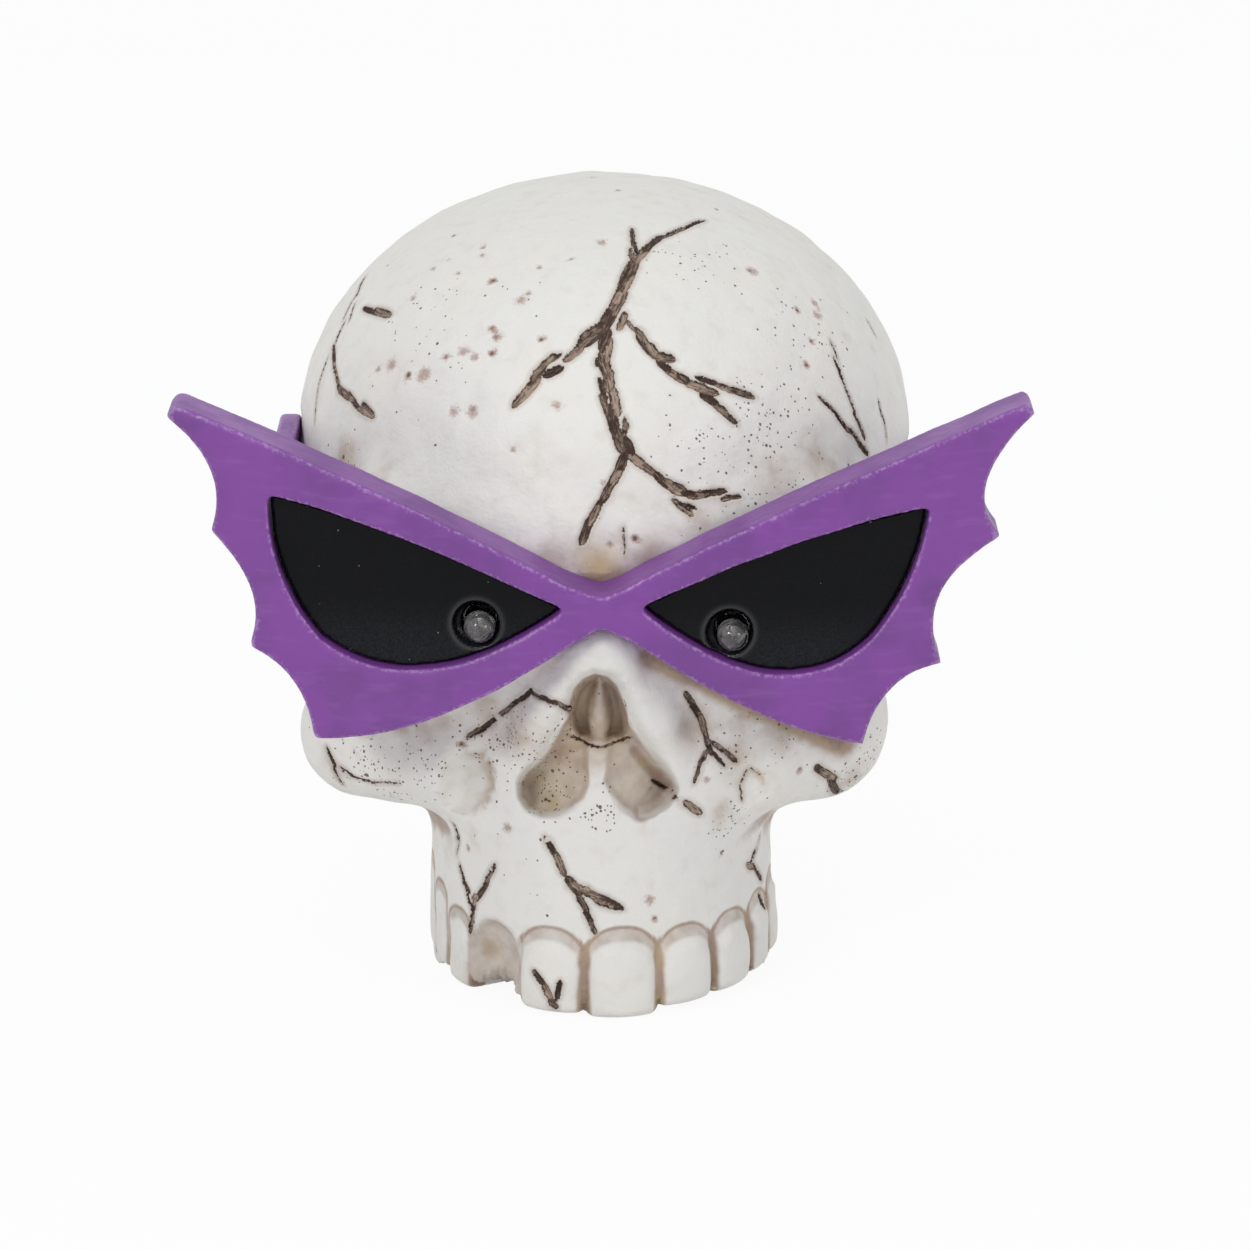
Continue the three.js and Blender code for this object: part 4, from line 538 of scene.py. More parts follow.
def shade_smooth(obj, angle=None):
    select_only(obj)
    if angle is None:
        bpy.ops.object.shade_smooth()
    else:
        bpy.ops.object.shade_smooth_by_angle(angle=math.radians(angle))


def surface_tree(obj):
    mesh = obj.data
    return BVHTree.FromPolygons([v.co for v in mesh.vertices], [tuple(p.vertices) for p in mesh.polygons])


def clearance(points, nodes):
    """Distance of each point from the nearest of the CAD nodes, in millimetres."""
    away = np.full(len(points), 1e3)
    margin = 12 * MM
    for node in nodes:
        tree = surface_tree(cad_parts[node])
        low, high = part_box(node)
        near = np.all((points > np.array(low) - margin) & (points < np.array(high) + margin), axis=1)
        for i in np.nonzero(near)[0]:
            distance = tree.find_nearest(points[i], margin)[3]
            if distance is not None:
                away[i] = min(away[i], distance / MM)
    return away


# The skull's form as a distance, in millimetres, from points in the sculpt's own frame


def ball_distance(p, centre, radii):
    q = p - np.array(centre)
    radii = np.array(radii, float)
    scaled = np.linalg.norm(q / radii, axis=1)
    slope = np.linalg.norm(q / radii**2, axis=1).clip(1e-9)
    return scaled * (scaled - 1) / slope


def bar_distance(p, start, end, radius, end_radius=None):
    start, end = np.array(start, float), np.array(end, float)
    along = end - start
    share = np.clip((p - start) @ along / (along @ along), 0, 1)
    thick = radius if end_radius is None else radius + (end_radius - radius) * share
    return np.linalg.norm(p - start - share[:, None] * along, axis=1) - thick


def block_distance(p, centre, half, rounding):
    q = np.abs(p - np.array(centre)) - np.array(half) + rounding
    return np.linalg.norm(q.clip(0), axis=1) + np.minimum(q.max(1), 0) - rounding


def melt(a, b, blend):
    if blend == 0:
        return np.minimum(a, b)
    overlap = np.clip(blend - np.abs(a - b), 0, None) / blend
    return np.minimum(a, b) - overlap * overlap * blend / 4


def carve(a, b, blend):
    return -melt(-a, b, blend)


def mass_distance(p, mass):
    kind, pair = mass[0], mass[-1]
    distance = {"ball": ball_distance, "bar": bar_distance, "block": block_distance}[kind]
    values = mass[1:-2]
    here = distance(p, *values)
    return np.minimum(here, distance(p * np.array((-1, 1, 1)), *values)) if pair else here


def arch_places():
    """Points and turns at even steps along the front quarter of the arch."""
    angle = np.linspace(0, math.pi / 2, 400)
    x, y = ARCH_HALF_WIDTH * np.sin(angle), ARCH_BACK - ARCH_DEPTH * np.cos(angle)
    run = np.concatenate([[0], np.cumsum(np.hypot(np.diff(x), np.diff(y)))])
    return run / run[-1], x, y, np.arctan2(ARCH_DEPTH * np.sin(angle), ARCH_HALF_WIDTH * np.cos(angle))


ARCH = arch_places()


def in_tooth(p, tooth, side):
    """Points in a tooth's own frame: across, outwards and up from its middle, and its half width and height."""
    start, end, gum, edge = tooth
    middle = (start + end) / 2
    if middle > 1:
        x, y, turn = ARCH_HALF_WIDTH, ARCH_BACK + (middle - 1) * ARCH_LENGTH, math.pi / 2
    else:
        x, y, turn = (np.interp(abs(middle), ARCH[0], row) for row in ARCH[1:])
    sign = side * (1 if middle >= 0 else -1)
    x, turn = sign * x, sign * turn
    dx, dy = p[:, 0] - x, p[:, 1] - y
    across = dx * math.cos(turn) + dy * math.sin(turn)
    outwards = dx * math.sin(turn) - dy * math.cos(turn)
    low, high = edge * SKULL_HEIGHT, gum * SKULL_HEIGHT
    return across, outwards, p[:, 2] - (low + high) / 2, (end - start) * ARCH_LENGTH / 2, (high - low) / 2


def arched_face(across, up, half_width, half_height):
    """Distance from a rectangle with small corners at the foot and wide ones at the top."""
    corner = np.where(up > 0, half_width * TOOTH_TOP_SHARE, TOOTH_CORNER)
    qx = np.abs(across) - half_width + corner
    qz = np.abs(up) - half_height + corner
    return np.minimum(np.maximum(qx, qz), 0) + np.hypot(qx.clip(0), qz.clip(0)) - corner


def tooth_distance(p, tooth, side, drop=0.0, back=0.0):
    """Distance from a tooth, or from one whose top is lower and whose face stands further back."""
    across, outwards, up, half_width, half_height = in_tooth(p, tooth, side)
    half_width = half_width - TOOTH_SIDE_GAP
    face = arched_face(across, up + drop / 2, half_width, half_height - drop / 2)
    crown = outwards + TOOTH_CROWN * across**2 + 0.012 * (up + half_height * 0.3) ** 2 + back
    depth = np.abs(crown + TOOTH_BITE / 2) - TOOTH_BITE / 2
    qa, qb = face + TOOTH_EDGE, depth + TOOTH_EDGE
    return np.minimum(np.maximum(qa, qb), 0) + np.hypot(qa.clip(0), qb.clip(0)) - TOOTH_EDGE


def each_tooth():
    return [(tooth, 1) for tooth in RIGHT_TEETH] + [(tooth, -1) for tooth in LEFT_TEETH]


def skull_distance(p):
    shares = p / SKULL_WIDTH
    field = np.ones(len(p))
    for mass in MASSES:
        field = melt(field, mass_distance(shares, mass), mass[-2])
    for hollow in HOLLOWS:
        field = carve(field, mass_distance(shares, hollow), hollow[-2])
    field = field * SKULL_WIDTH
    face = (p[:, 1] < -25) & (p[:, 2] < 70)
    field[face] = face_distance(p[face], field[face])
    return field


def face_distance(p, field):
    for start, end in NOSE_RIMS:
        field = melt(field, bar_distance(p, start, end, NOSE_RIM_RADIUS), 1.4)
    under = np.maximum(p[:, 2] - GUM_LIFT, p[:, 1] - GUM_BACK)
    field = carve(field, under, 1.0)
    across, outwards, up, half_width, half_height = in_tooth(p, MISSING_TOOTH, -1)
    socket = np.stack([across, outwards, up - SOCKET_LIFT], axis=1)
    radii = (half_width * 0.98, SOCKET_DEPTH, half_height - SOCKET_SHORTER)
    field = carve(field, ball_distance(socket, (0, 0, 0), radii), 0.7)
    for tooth, side in each_tooth():
        field = melt(field, tooth_distance(p, tooth, side, 0, GUM_RIM_BACK), 0.5)
        field = melt(field, tooth_distance(p, tooth, side, GUM_RIM), 0.3)
    return field


def to_sculpt(points):
    return (points - np.array(SHIFT)) / MM


def to_row(points):
    return points * MM + np.array(SHIFT)


def drawn_onto(points, distance, weight, rounds):
    """Points in the sculpt's frame, moved onto the form by their weight."""
    probe = 0.05
    for _ in range(rounds):
        here = distance(points)
        slope = np.stack(
            [(distance(points + probe * np.eye(3)[k]) - here) / probe for k in range(3)],
            axis=1,
        )
        step = here / (slope**2).sum(1).clip(0.2)
        points = points - (weight * np.clip(step, -0.8, 0.8))[:, None] * slope
    return points


# Cracks and chips


def photo_ray(px, py):
    """Where the view's eye is, and the way through one of its pixels."""
    forward, up = Vector(VIEW_FORWARD), Vector(VIEW_UP)
    eye = Vector(VIEW_TARGET) - VIEW_DISTANCE * forward + VIEW_RISE * up
    middle = VIEW_FRAME / 2
    way = forward + Vector((1, 0, 0)) * (px - middle) / VIEW_FOCAL + up * (middle - py) / VIEW_FOCAL
    return eye * MM + SHIFT, way.normalized()


def to_view(sculpt):
    """Pixels of the view, and the depth along it, for points in the sculpt's frame."""
    x, y, z = (sculpt - np.array(VIEW_TARGET)).T
    sine, cosine = math.sin(VIEW_ELEVATION), math.cos(VIEW_ELEVATION)
    depth = VIEW_DISTANCE + y * cosine - z * sine
    rise = y * sine + z * cosine - VIEW_RISE
    middle = VIEW_FRAME / 2
    return middle + VIEW_FOCAL * x / depth, middle - VIEW_FOCAL * rise / depth, depth


def pushed_back(sculpt, by):
    """Points moved away from the view's eye by their share in millimetres, so that they keep their pixel."""
    forward, up = np.array(VIEW_FORWARD), np.array(VIEW_UP)
    eye = np.array(VIEW_TARGET) - VIEW_DISTANCE * forward + VIEW_RISE * up
    way = sculpt - eye
    way /= (way @ forward)[:, None]
    return sculpt + way * np.asarray(by)[:, None]


def line_distance(px, py, ax, ay, bx, by):
    ex, ey = bx - ax, by - ay
    share = np.clip(((px - ax) * ex + (py - ay) * ey) / (ex * ex + ey * ey), 0, 1)
    return np.hypot(px - ax - share * ex, py - ay - share * ey)


def outline_distance(px, py, corners):
    """Distance in pixels from a closed outline, negative inside."""
    nearest, inside = np.full(len(px), 1e9), np.zeros(len(px), bool)
    for (ax, ay), (bx, by) in zip(corners, corners[1:] + corners[:1]):
        nearest = np.minimum(nearest, line_distance(px, py, ax, ay, bx, by))
        if ay != by:
            crosses = (py < ay) != (py < by)
            inside ^= crosses & (px < ax + (py - ay) * (bx - ax) / (by - ay))
    return np.where(inside, -nearest, nearest)


def nose_relief(px, py):
    """Depth of the nose's hollows in millimetres, the distance inside them in pixels, and their brown stain with
    painted shade.
    """
    parts = (NOSE_CHAMBER, NOSE_LEFT_LOBE, NOSE_RIGHT_LOBE, NOSE_MIDDLE)
    chamber, left, right, middle = (outline_distance(px, py, part) for part in parts)
    fall = np.clip((py - 740) / 68, 0, 1)
    leaf = 11.5 * np.sin(np.pi * np.clip((py - 676) / 76, 0, 1)) ** 0.7
    ridge = np.sqrt((1 - ((px - 599.5) / leaf.clip(0.5)) ** 2).clip(0))
    deep = 8.0 * smoothstep(0, -10, chamber) - 4.2 * ridge * smoothstep(1, -5, chamber)
    lobes = np.maximum(
        (3.7 - 1.3 * fall) * smoothstep(1, -11, left),
        (3.4 - 1.2 * fall) * smoothstep(1, -12, right),
    )
    lobes = np.maximum(lobes, 2.3 * (1 - fall) * smoothstep(2, -5, middle))
    depth = np.maximum(deep, lobes)
    hollow = np.minimum.reduce([chamber, left, right, middle])
    # Brown stain with painted shade: darker at the top of the lobes under the ledge and in the deep chamber, lighter on
    # the lit ridge
    wash = smoothstep(0.5, -5, left) * (0.7 - 0.1 * fall)
    wash = np.maximum(wash, smoothstep(0.5, -6, right) * (0.62 - 0.12 * fall))
    wash = np.maximum(wash, smoothstep(2, -4, middle) * 0.62 * (1 - fall))
    wash = wash + smoothstep(0.5, -4, chamber) * (0.74 - 0.1 * ridge - wash)
    # Painted shade: a dark line along the chamber's lower edge, at the ledge above the lobes
    ledge = bell(chamber - 0.3, 1.5) * smoothstep(730, 738, py)
    ledge = ledge * smoothstep(566, 572, px) * smoothstep(634, 628, px)
    return depth, hollow, np.maximum(wash, 1.25 * ledge)


def sunk_nose(sculpt):
    """Points of the plain nose pushed back into its hollows."""
    px, py, depth = to_view(sculpt)
    relief, hollow, _ = nose_relief(px, py)
    level = 809.3 + 0.0891 * (py - 671) + 0.0017 * (px - 597) ** 2
    share = smoothstep(3.0, -3.0, hollow) * (sculpt[:, 1] < NOSE_FRONT)
    return pushed_back(sculpt, share * (level + relief - depth))


def dent_shapes(px, py):
    """Depth in millimetres and brown stain of the shallow dents."""
    depth, wash = np.zeros(len(px)), np.zeros(len(px))
    for x, y, half_x, half_y, turn, deep, stain in DENTS:
        turn = math.radians(turn)
        dx, dy = px - x, py - y
        across = (dx * math.cos(turn) + dy * math.sin(turn)) / half_x
        along = (dy * math.cos(turn) - dx * math.sin(turn)) / half_y
        away = np.hypot(across, along)
        steep = 0.16 + 0.5 * np.clip(0.35 - 0.5 * across - 0.35 * along, 0, 1)
        shape = smoothstep(1.0, 0.98 - steep, away)
        rim = smoothstep(0.5, 0.93, away) * smoothstep(-0.2, 0.6, across - 0.5 * along)
        fade = np.clip(0.75 + 0.4 * across - 0.35 * along, 0.2, 1)
        depth = np.maximum(depth, deep * shape)
        wash = np.maximum(wash, stain * (0.6 + 0.7 * rim) * fade * smoothstep(1.03, 0.9, away))
    return depth, wash


def on_surface(tree, px, py):
    eye, way = photo_ray(px, py)
    hit = tree.ray_cast(eye, way)[0]
    return None if hit is None else np.array(hit)


def laid_chips(tree, scale):
    """Every long chip of the cracks, laid on the surface: ends, the way out of the surface, and half width."""
    laid = []
    for ax, ay, bx, by, width in CRACK_CHIPS:
        start, end = on_surface(tree, ax, ay), on_surface(tree, bx, by)
        if start is not None and end is not None and np.linalg.norm(end - start) < CHIP_LONGEST * MM:
            eye, way = photo_ray((ax + bx) / 2, (ay + by) / 2)
            out = np.array(tree.ray_cast(eye, way)[1] or -way)
            laid.append((start, end, out, scale * width / 2))
    return laid


def near_cracks(points, chips, reach=3.0):
    """Distance to the nearest chip's edge, its depth, and the place in it: along, across and its own number."""
    edge = np.full(len(points), reach)
    found = np.zeros((4, len(points)))
    for number, (start, end, out, half) in enumerate(chips):
        way = end - start
        near = np.nonzero(np.abs(points - (start + end) / 2).max(1) < reach * MM + np.linalg.norm(way) / 2)[0]
        if not len(near):
            continue
        away = points[near] - start
        share = np.clip(away @ way / (way @ way), 0, 1)
        beside = away - share[:, None] * way
        height = beside @ out
        flat = np.linalg.norm(beside - height[:, None] * out, axis=1) / MM
        off = np.hypot(flat, 0.35 * (np.abs(height) / MM - 1.6).clip(0) * 4)
        taper = (1 - np.abs(2 * share - 1) ** 3.6) ** 0.5
        width = half * taper
        closer = off - width < edge[near]
        hit = near[closer]
        edge[hit] = (off - width)[closer]
        deep = (0.3 + 0.75 * half) * np.clip(1 - (off / width.clip(0.02)) ** 2, 0, 1) * taper
        found[0, near] = np.maximum(found[0, near], deep)
        found[1, hit] = share[closer] * np.linalg.norm(way) / MM + number * 3.7
        found[2, hit] = (off * np.sign(beside @ np.cross(way, out)))[closer] / max(half, 0.05)
        found[3, hit] = (number * 0.618) % 1
    return edge, found


def near_places(points, tree, places):
    """The strongest of the soft round blots at these places of the view."""
    found = np.zeros(len(points))
    for px, py, radius, strength in places:
        place = on_surface(tree, px, py)
        if place is not None:
            away = np.linalg.norm(points - place, axis=1) / MM / radius
            found = np.maximum(found, strength * np.exp(-(away**2) * 1.4))
    return found


def near_pits(points, tree):
    """How deep in a pit each point lies, and the pit's dark side."""
    soft, core = np.zeros(len(points)), np.zeros(len(points))
    for number, (px, py, radius) in enumerate(PITS):
        place = on_surface(tree, px, py)
        if place is None:
            continue
        turn = number * 2.4
        away = (points - place) / MM / (radius * PIT_SCALE)
        soft = np.maximum(soft, np.exp(-((away**2).sum(1)) * 1.3))
        lean = away + 0.4 * np.array((math.cos(turn) * 0.5 + 0.3, 0, math.sin(turn) * 0.5 - 0.4))
        core = np.maximum(core, np.exp(-((lean**2).sum(1)) * 3.5) * (0.55 + 0.45 * math.sin(number * 1.7)))
    return soft, core


# Shader helpers


def new_material(name):
    material = bpy.data.materials.new(name)
    material.use_nodes = True
    tree = material.node_tree
    return material, tree, tree.nodes["Principled BSDF"]


def fill(tree, node, inputs):
    """Sets or links a node's inputs."""
    for key, value in inputs.items():
        if isinstance(value, bpy.types.NodeSocket):
            tree.links.new(value, node.inputs[key])
        else:
            node.inputs[key].default_value = value


def put(tree, kind, inputs=None, **values):
    """A node with its settings, and with its inputs set or linked."""
    made = tree.nodes.new(kind)
    for key, value in values.items():
        setattr(made, key, value)
    fill(tree, made, inputs or {})
    return made


def maths(tree, operation, a, b=0.0, c=0.0):
    return put(tree, "ShaderNodeMath", {0: a, 1: b, 2: c}, operation=operation).outputs[0]


def ramp(tree, value, low, high, to_low=0.0, to_high=1.0):
    inputs = {"Value": value, "From Min": low, "From Max": high, "To Min": to_low, "To Max": to_high}
    return put(tree, "ShaderNodeMapRange", inputs, interpolation_type="SMOOTHSTEP").outputs[0]


def mix(tree, share, a, b):
    """Two colours mixed; 6 and 7 are the node's colour inputs."""
    return put(tree, "ShaderNodeMix", {0: share, 6: a, 7: b}, data_type="RGBA", clamp_factor=True).outputs[2]


def rgb(colour):
    return (*colour, 1.0)


def noise(tree, vector, size_mm, detail=3.0, rough=0.5):
    """Noise whose blots are about this many millimetres wide."""
    inputs = {"Vector": vector, "Scale": 1 / (size_mm * MM), "Detail": detail, "Roughness": rough}
    return put(tree, "ShaderNodeTexNoise", inputs).outputs[0]


def attribute(tree, name, output="Fac"):
    return put(tree, "ShaderNodeAttribute", attribute_name=name).outputs[output]


def place_in(tree):
    return put(tree, "ShaderNodeTexCoord").outputs["Object"]


def bump(tree, height, distance_mm, normal=None):
    inputs = {"Height": height, "Distance": distance_mm * MM, "Strength": 1.0}
    if normal is not None:
        inputs["Normal"] = normal
    return put(tree, "ShaderNodeBump", inputs).outputs[0]


def new_group(name, values, output):
    """A shader node group that makes one value from Vector and these named ones."""
    group = bpy.data.node_groups.new(name, "ShaderNodeTree")
    group.interface.new_socket(name="Vector", in_out="INPUT", socket_type="NodeSocketVector")
    for label, default in values.items():
        socket = group.interface.new_socket(name=label, in_out="INPUT", socket_type="NodeSocketFloat")
        socket.default_value = default
    group.interface.new_socket(name=output, in_out="OUTPUT", socket_type="NodeSocketFloat")
    entry, leave = group.nodes.new("NodeGroupInput"), group.nodes.new("NodeGroupOutput")
    return group, entry.outputs, leave.inputs[0]


def dots_group():
    """Scattered round dots: Size is a cell in millimetres, Share how many cells hold a dot."""
    if "Scattered Dots" in bpy.data.node_groups:
        return bpy.data.node_groups["Scattered Dots"]
    tree, entry, leave = new_group("Scattered Dots", {"Size": 1.0, "Share": 0.5, "Radius": 0.3}, "Mask")
    scale = maths(tree, "DIVIDE", 1 / MM, entry["Size"])
    warp = put(tree, "ShaderNodeTexNoise", {"Vector": entry["Vector"], "Scale": scale, "Detail": 2.0})
    bent = put(tree, "ShaderNodeVectorMath", {0: warp.outputs["Color"], "Scale": 0.45 * MM}, operation="SCALE")
    place = put(tree, "ShaderNodeVectorMath", {0: entry["Vector"], 1: bent.outputs[0]}, operation="ADD")
    cells = put(tree, "ShaderNodeTexVoronoi", {"Vector": place.outputs[0], "Scale": scale})
    apart = put(tree, "ShaderNodeSeparateColor", {0: cells.outputs["Color"]})
    chosen = maths(tree, "LESS_THAN", apart.outputs[0], entry["Share"])
    own = maths(tree, "MULTIPLY", entry["Radius"], maths(tree, "ADD", apart.outputs[1], 0.35))
    inside = maths(tree, "LESS_THAN", cells.outputs["Distance"], own)
    tree.links.new(maths(tree, "MULTIPLY", chosen, inside), leave)
    return tree


def grain_group():
    """Fine casting grain with slow dents under it, as one height."""
    if "Cast Grain" in bpy.data.node_groups:
        return bpy.data.node_groups["Cast Grain"]
    tree, entry, leave = new_group("Cast Grain", {"Grain": 0.4, "Dents": 5.0, "Dent Share": 0.7}, "Height")
    fine_scale = maths(tree, "DIVIDE", 1 / MM, entry["Grain"])
    slow_scale = maths(tree, "DIVIDE", 1 / MM, entry["Dents"])
    fine = put(tree, "ShaderNodeTexNoise", {"Vector": entry["Vector"], "Scale": fine_scale, "Detail": 4.0})
    slow = put(tree, "ShaderNodeTexNoise", {"Vector": entry["Vector"], "Scale": slow_scale, "Detail": 3.0})
    low = maths(tree, "MULTIPLY", slow.outputs[0], entry["Dent Share"])
    rest = maths(tree, "SUBTRACT", 1.0, entry["Dent Share"])
    high = maths(tree, "MULTIPLY", fine.outputs[0], rest)
    tree.links.new(maths(tree, "ADD", low, high), leave)
    return tree


def grouped(tree, group, inputs):
    return put(tree, "ShaderNodeGroup", inputs, node_tree=group).outputs[0]


# Finishes


def painted_bone(settings):
    """White paint with brown stain in the creases, cracks, pits and speckles, and painted shade where the stain runs
    strongest.
    """
    material, tree, shader = new_material("painted_bone")
    place = place_in(tree)
    crack, wash, pit, speckle = (attribute(tree, name) for name in ("crack", "wash", "pit", "speckle"))
    inside = put(tree, "ShaderNodeSeparateXYZ", {0: attribute(tree, "inside", "Vector")})
    along, across, tone = inside.outputs
    slow, mid, fine = noise(tree, place, 14), noise(tree, place, 3.0, 4), noise(tree, place, 0.45, 3)

    warm = mix(tree, ramp(tree, slow, 0.35, 0.7), rgb(settings.bone), (0.79, 0.765, 0.71, 1))
    mottled = mix(tree, ramp(tree, mid, 0.52, 0.74, 0, 0.22), warm, (0.67, 0.61, 0.55, 1))
    yellow = maths(tree, "MAXIMUM", ramp(tree, noise(tree, place, 8), 0.45, 0.65, 0, 0.45), attribute(tree, "ochre"))
    stain = mix(tree, yellow, rgb(settings.wash), rgb(settings.ochre))
    patchy = ramp(tree, maths(tree, "MULTIPLY_ADD", mid, 0.5, wash), 0.28, 1.15)
    # Painted shade: where wash runs highest, between the teeth, at the nose's ledge and under the frame, the colour
    # goes to dark brown
    thick = ramp(tree, maths(tree, "MULTIPLY_ADD", noise(tree, place, 1.2, 4, 0.6), 0.7, wash), 1.2, 1.9, 0, 0.8)
    stained_and_shaded = mix(tree, thick, mix(tree, patchy, mottled, stain), (0.17, 0.11, 0.085, 1))

    bruise = ramp(tree, maths(tree, "MULTIPLY_ADD", fine, 0.5, pit), 0.34, 0.72)
    pit_tone = mix(tree, ramp(tree, pit, 0.42, 0.75), (0.46, 0.34, 0.29, 1), (0.14, 0.08, 0.055, 1))
    bruised = mix(tree, bruise, stained_and_shaded, pit_tone)

    ragged = maths(tree, "MULTIPLY_ADD", noise(tree, place, 0.5, 4, 0.65), 0.8, -0.4)
    edge = maths(tree, "ADD", crack, ragged)
    haloed = mix(tree, ramp(tree, edge, 1.1, 0.0, 0, 0.42), bruised, stain)
    stretched = {0: maths(tree, "MULTIPLY", across, 1.3), 1: maths(tree, "MULTIPLY", along, 0.22)}
    run = put(tree, "ShaderNodeCombineXYZ", stretched).outputs[0]
    streaks = {"Vector": run, "Scale": 2.2, "Detail": 5.0, "Roughness": 0.7}
    streak = put(tree, "ShaderNodeTexNoise", streaks).outputs[0]
    chip_tone = maths(tree, "MULTIPLY_ADD", tone, 0.3, streak)
    floor = mix(tree, ramp(tree, chip_tone, 0.54, 0.84), rgb(settings.crack), (0.53, 0.4, 0.31, 1))
    broken = maths(tree, "MULTIPLY_ADD", noise(tree, place, 1.1, 2), 1.1, edge)
    rimmed = mix(tree, ramp(tree, broken, 0.3, 0.5), floor, rgb(settings.crack))
    cracked = mix(tree, ramp(tree, edge, 0.06, -0.08), haloed, rimmed)

    fine_dots = {"Vector": place, "Size": 0.6, "Share": maths(tree, "MULTIPLY", speckle, 0.75), "Radius": 0.3}
    blots = {"Vector": place, "Size": 1.5, "Share": ramp(tree, speckle, 0.35, 1.0, 0, 0.6), "Radius": 0.26}
    stray = {"Vector": place, "Size": 4.5, "Share": 0.2, "Radius": 0.055}
    dots = maths(tree, "MAXIMUM", grouped(tree, dots_group(), fine_dots), grouped(tree, dots_group(), blots))
    dots = maths(tree, "MAXIMUM", dots, grouped(tree, dots_group(), stray))
    coloured = mix(tree, maths(tree, "MULTIPLY", dots, 0.88), cracked, (0.075, 0.042, 0.03, 1))

    grain = grouped(tree, grain_group(), {"Vector": place, "Grain": 0.5, "Dents": 4.2, "Dent Share": 0.86})
    cast = bump(tree, grain, 0.5)
    sunk = maths(tree, "MULTIPLY", ramp(tree, edge, 0.05, -0.15), maths(tree, "SUBTRACT", 1.3, streak))
    cut = bump(tree, maths(tree, "MULTIPLY", sunk, -1.0), 0.3, cast)
    pitted = bump(tree, maths(tree, "MULTIPLY", maths(tree, "MAXIMUM", dots, bruise), -1.0), 0.12, cut)
    rough = ramp(tree, mid, 0.3, 0.7, 0.5, 0.66)
    fill(tree, shader, {"Base Color": coloured, "Roughness": rough, "Normal": pitted})
    return material


PAINT_NAME = "satin_purple"


def purple_paint(settings):
    """Satin paint, thin and pale along the edges, partly a painted highlight, with painted shade in its hollows."""
    material, tree, shader = new_material(PAINT_NAME)
    place = place_in(tree)
    hollow = attribute(tree, "hollow")
    slow, fine = noise(tree, place, 9, 4), noise(tree, place, 0.7, 4, 0.6)
    base = mix(tree, ramp(tree, slow, 0.35, 0.68), rgb(settings.purple), (0.17, 0.046, 0.26, 1))
    streaks = noise(tree, put(tree, "ShaderNodeMapping", {"Vector": place, "Scale": (0.35, 1, 1.6)}).outputs[0], 2.2, 4)
    brushed = mix(tree, ramp(tree, streaks, 0.5, 0.75, 0, 0.3), base, (0.27, 0.1, 0.37, 1))
    # Paler on ridges and edges: partly thin, worn paint and partly a painted highlight
    rim = maths(tree, "SUBTRACT", maths(tree, "MULTIPLY_ADD", fine, 0.3, -0.15), hollow)
    wear_and_highlight = ramp(tree, rim, 0.08, 0.19, 0, 0.55)
    edged = mix(tree, wear_and_highlight, brushed, rgb(settings.wear_and_highlight))
    # Painted shade: the hollows of the frame darken to deep purple
    dark = ramp(tree, hollow, 0.02, 0.1, 0, 0.6)
    shaded = mix(tree, dark, edged, (0.075, 0.016, 0.12, 1))
    dust = grouped(tree, dots_group(), {"Vector": place, "Size": 3.2, "Share": 0.2, "Radius": 0.06})
    coloured = mix(tree, maths(tree, "MULTIPLY", dust, 0.5), shaded, (0.09, 0.03, 0.1, 1))
    rough = ramp(tree, slow, 0.3, 0.7, 0.36, 0.48)
    grain = grouped(tree, grain_group(), {"Vector": place, "Grain": 0.6, "Dents": 3.5, "Dent Share": 0.85})
    fill(tree, shader, {"Base Color": coloured, "Roughness": rough, "Normal": bump(tree, grain, 0.22)})
    return material


def lens_lacquer(settings):
    """Black lacquer with dust, a pale film that is partly a painted sheen, stronger towards the bottom, and flecks of
    purple at the rim.
    """
    material, tree, shader = new_material("lens_lacquer")
    place = place_in(tree)
    slow = noise(tree, place, 7, 3)
    dust = grouped(tree, dots_group(), {"Vector": place, "Size": 1.6, "Share": 0.14, "Radius": 0.085})
    # A pale film, dust together with a painted sheen, that grows towards the bottom of each lens
    film = maths(tree, "MULTIPLY", ramp(tree, noise(tree, place, 0.35, 4, 0.7), 0.2, 0.8), attribute(tree, "dusty"))
    base = mix(tree, film, rgb(settings.black), (0.16, 0.17, 0.2, 1))
    dusty = mix(tree, maths(tree, "MULTIPLY", dust, 0.22), base, (0.55, 0.58, 0.6, 1))
    rim = attribute(tree, "rim")
    flecks = ramp(tree, maths(tree, "MULTIPLY_ADD", noise(tree, place, 0.7, 3), 1.2, rim), 1.22, 1.3, 0, 0.7)
    coloured = mix(tree, flecks, dusty, (0.2, 0.11, 0.26, 1))
    fill(tree, shader, {"Base Color": coloured, "Roughness": ramp(tree, slow, 0.3, 0.7, 0.2, 0.32)})
    fill(tree, shader, {"Specular IOR Level": 0.12, "Coat Roughness": 0.12, "Coat Weight": attribute(tree, "ring")})
    grain = grouped(tree, grain_group(), {"Vector": place, "Grain": 0.5, "Dents": 6.0, "Dent Share": 0.9})
    fill(tree, shader, {"Normal": bump(tree, grain, 0.16)})
    return material


def clear_epoxy(settings):
    """Clear epoxy with a faint tint and small ripples from its mould."""
    material, tree, shader = new_material("clear_epoxy")
    place = place_in(tree)
    tint = mix(tree, noise(tree, place, 1.5), rgb(settings.epoxy), (0.6, 0.61, 0.64, 1))
    rough = ramp(tree, noise(tree, place, 0.8), 0.3, 0.7, 0.01, 0.05)
    ripples = bump(tree, noise(tree, place, 1.2, 2), 0.05)
    fill(tree, shader, {"Base Color": tint, "Roughness": rough, "Normal": ripples})
    fill(tree, shader, {"Transmission Weight": 1.0, "IOR": 1.53})
    return material


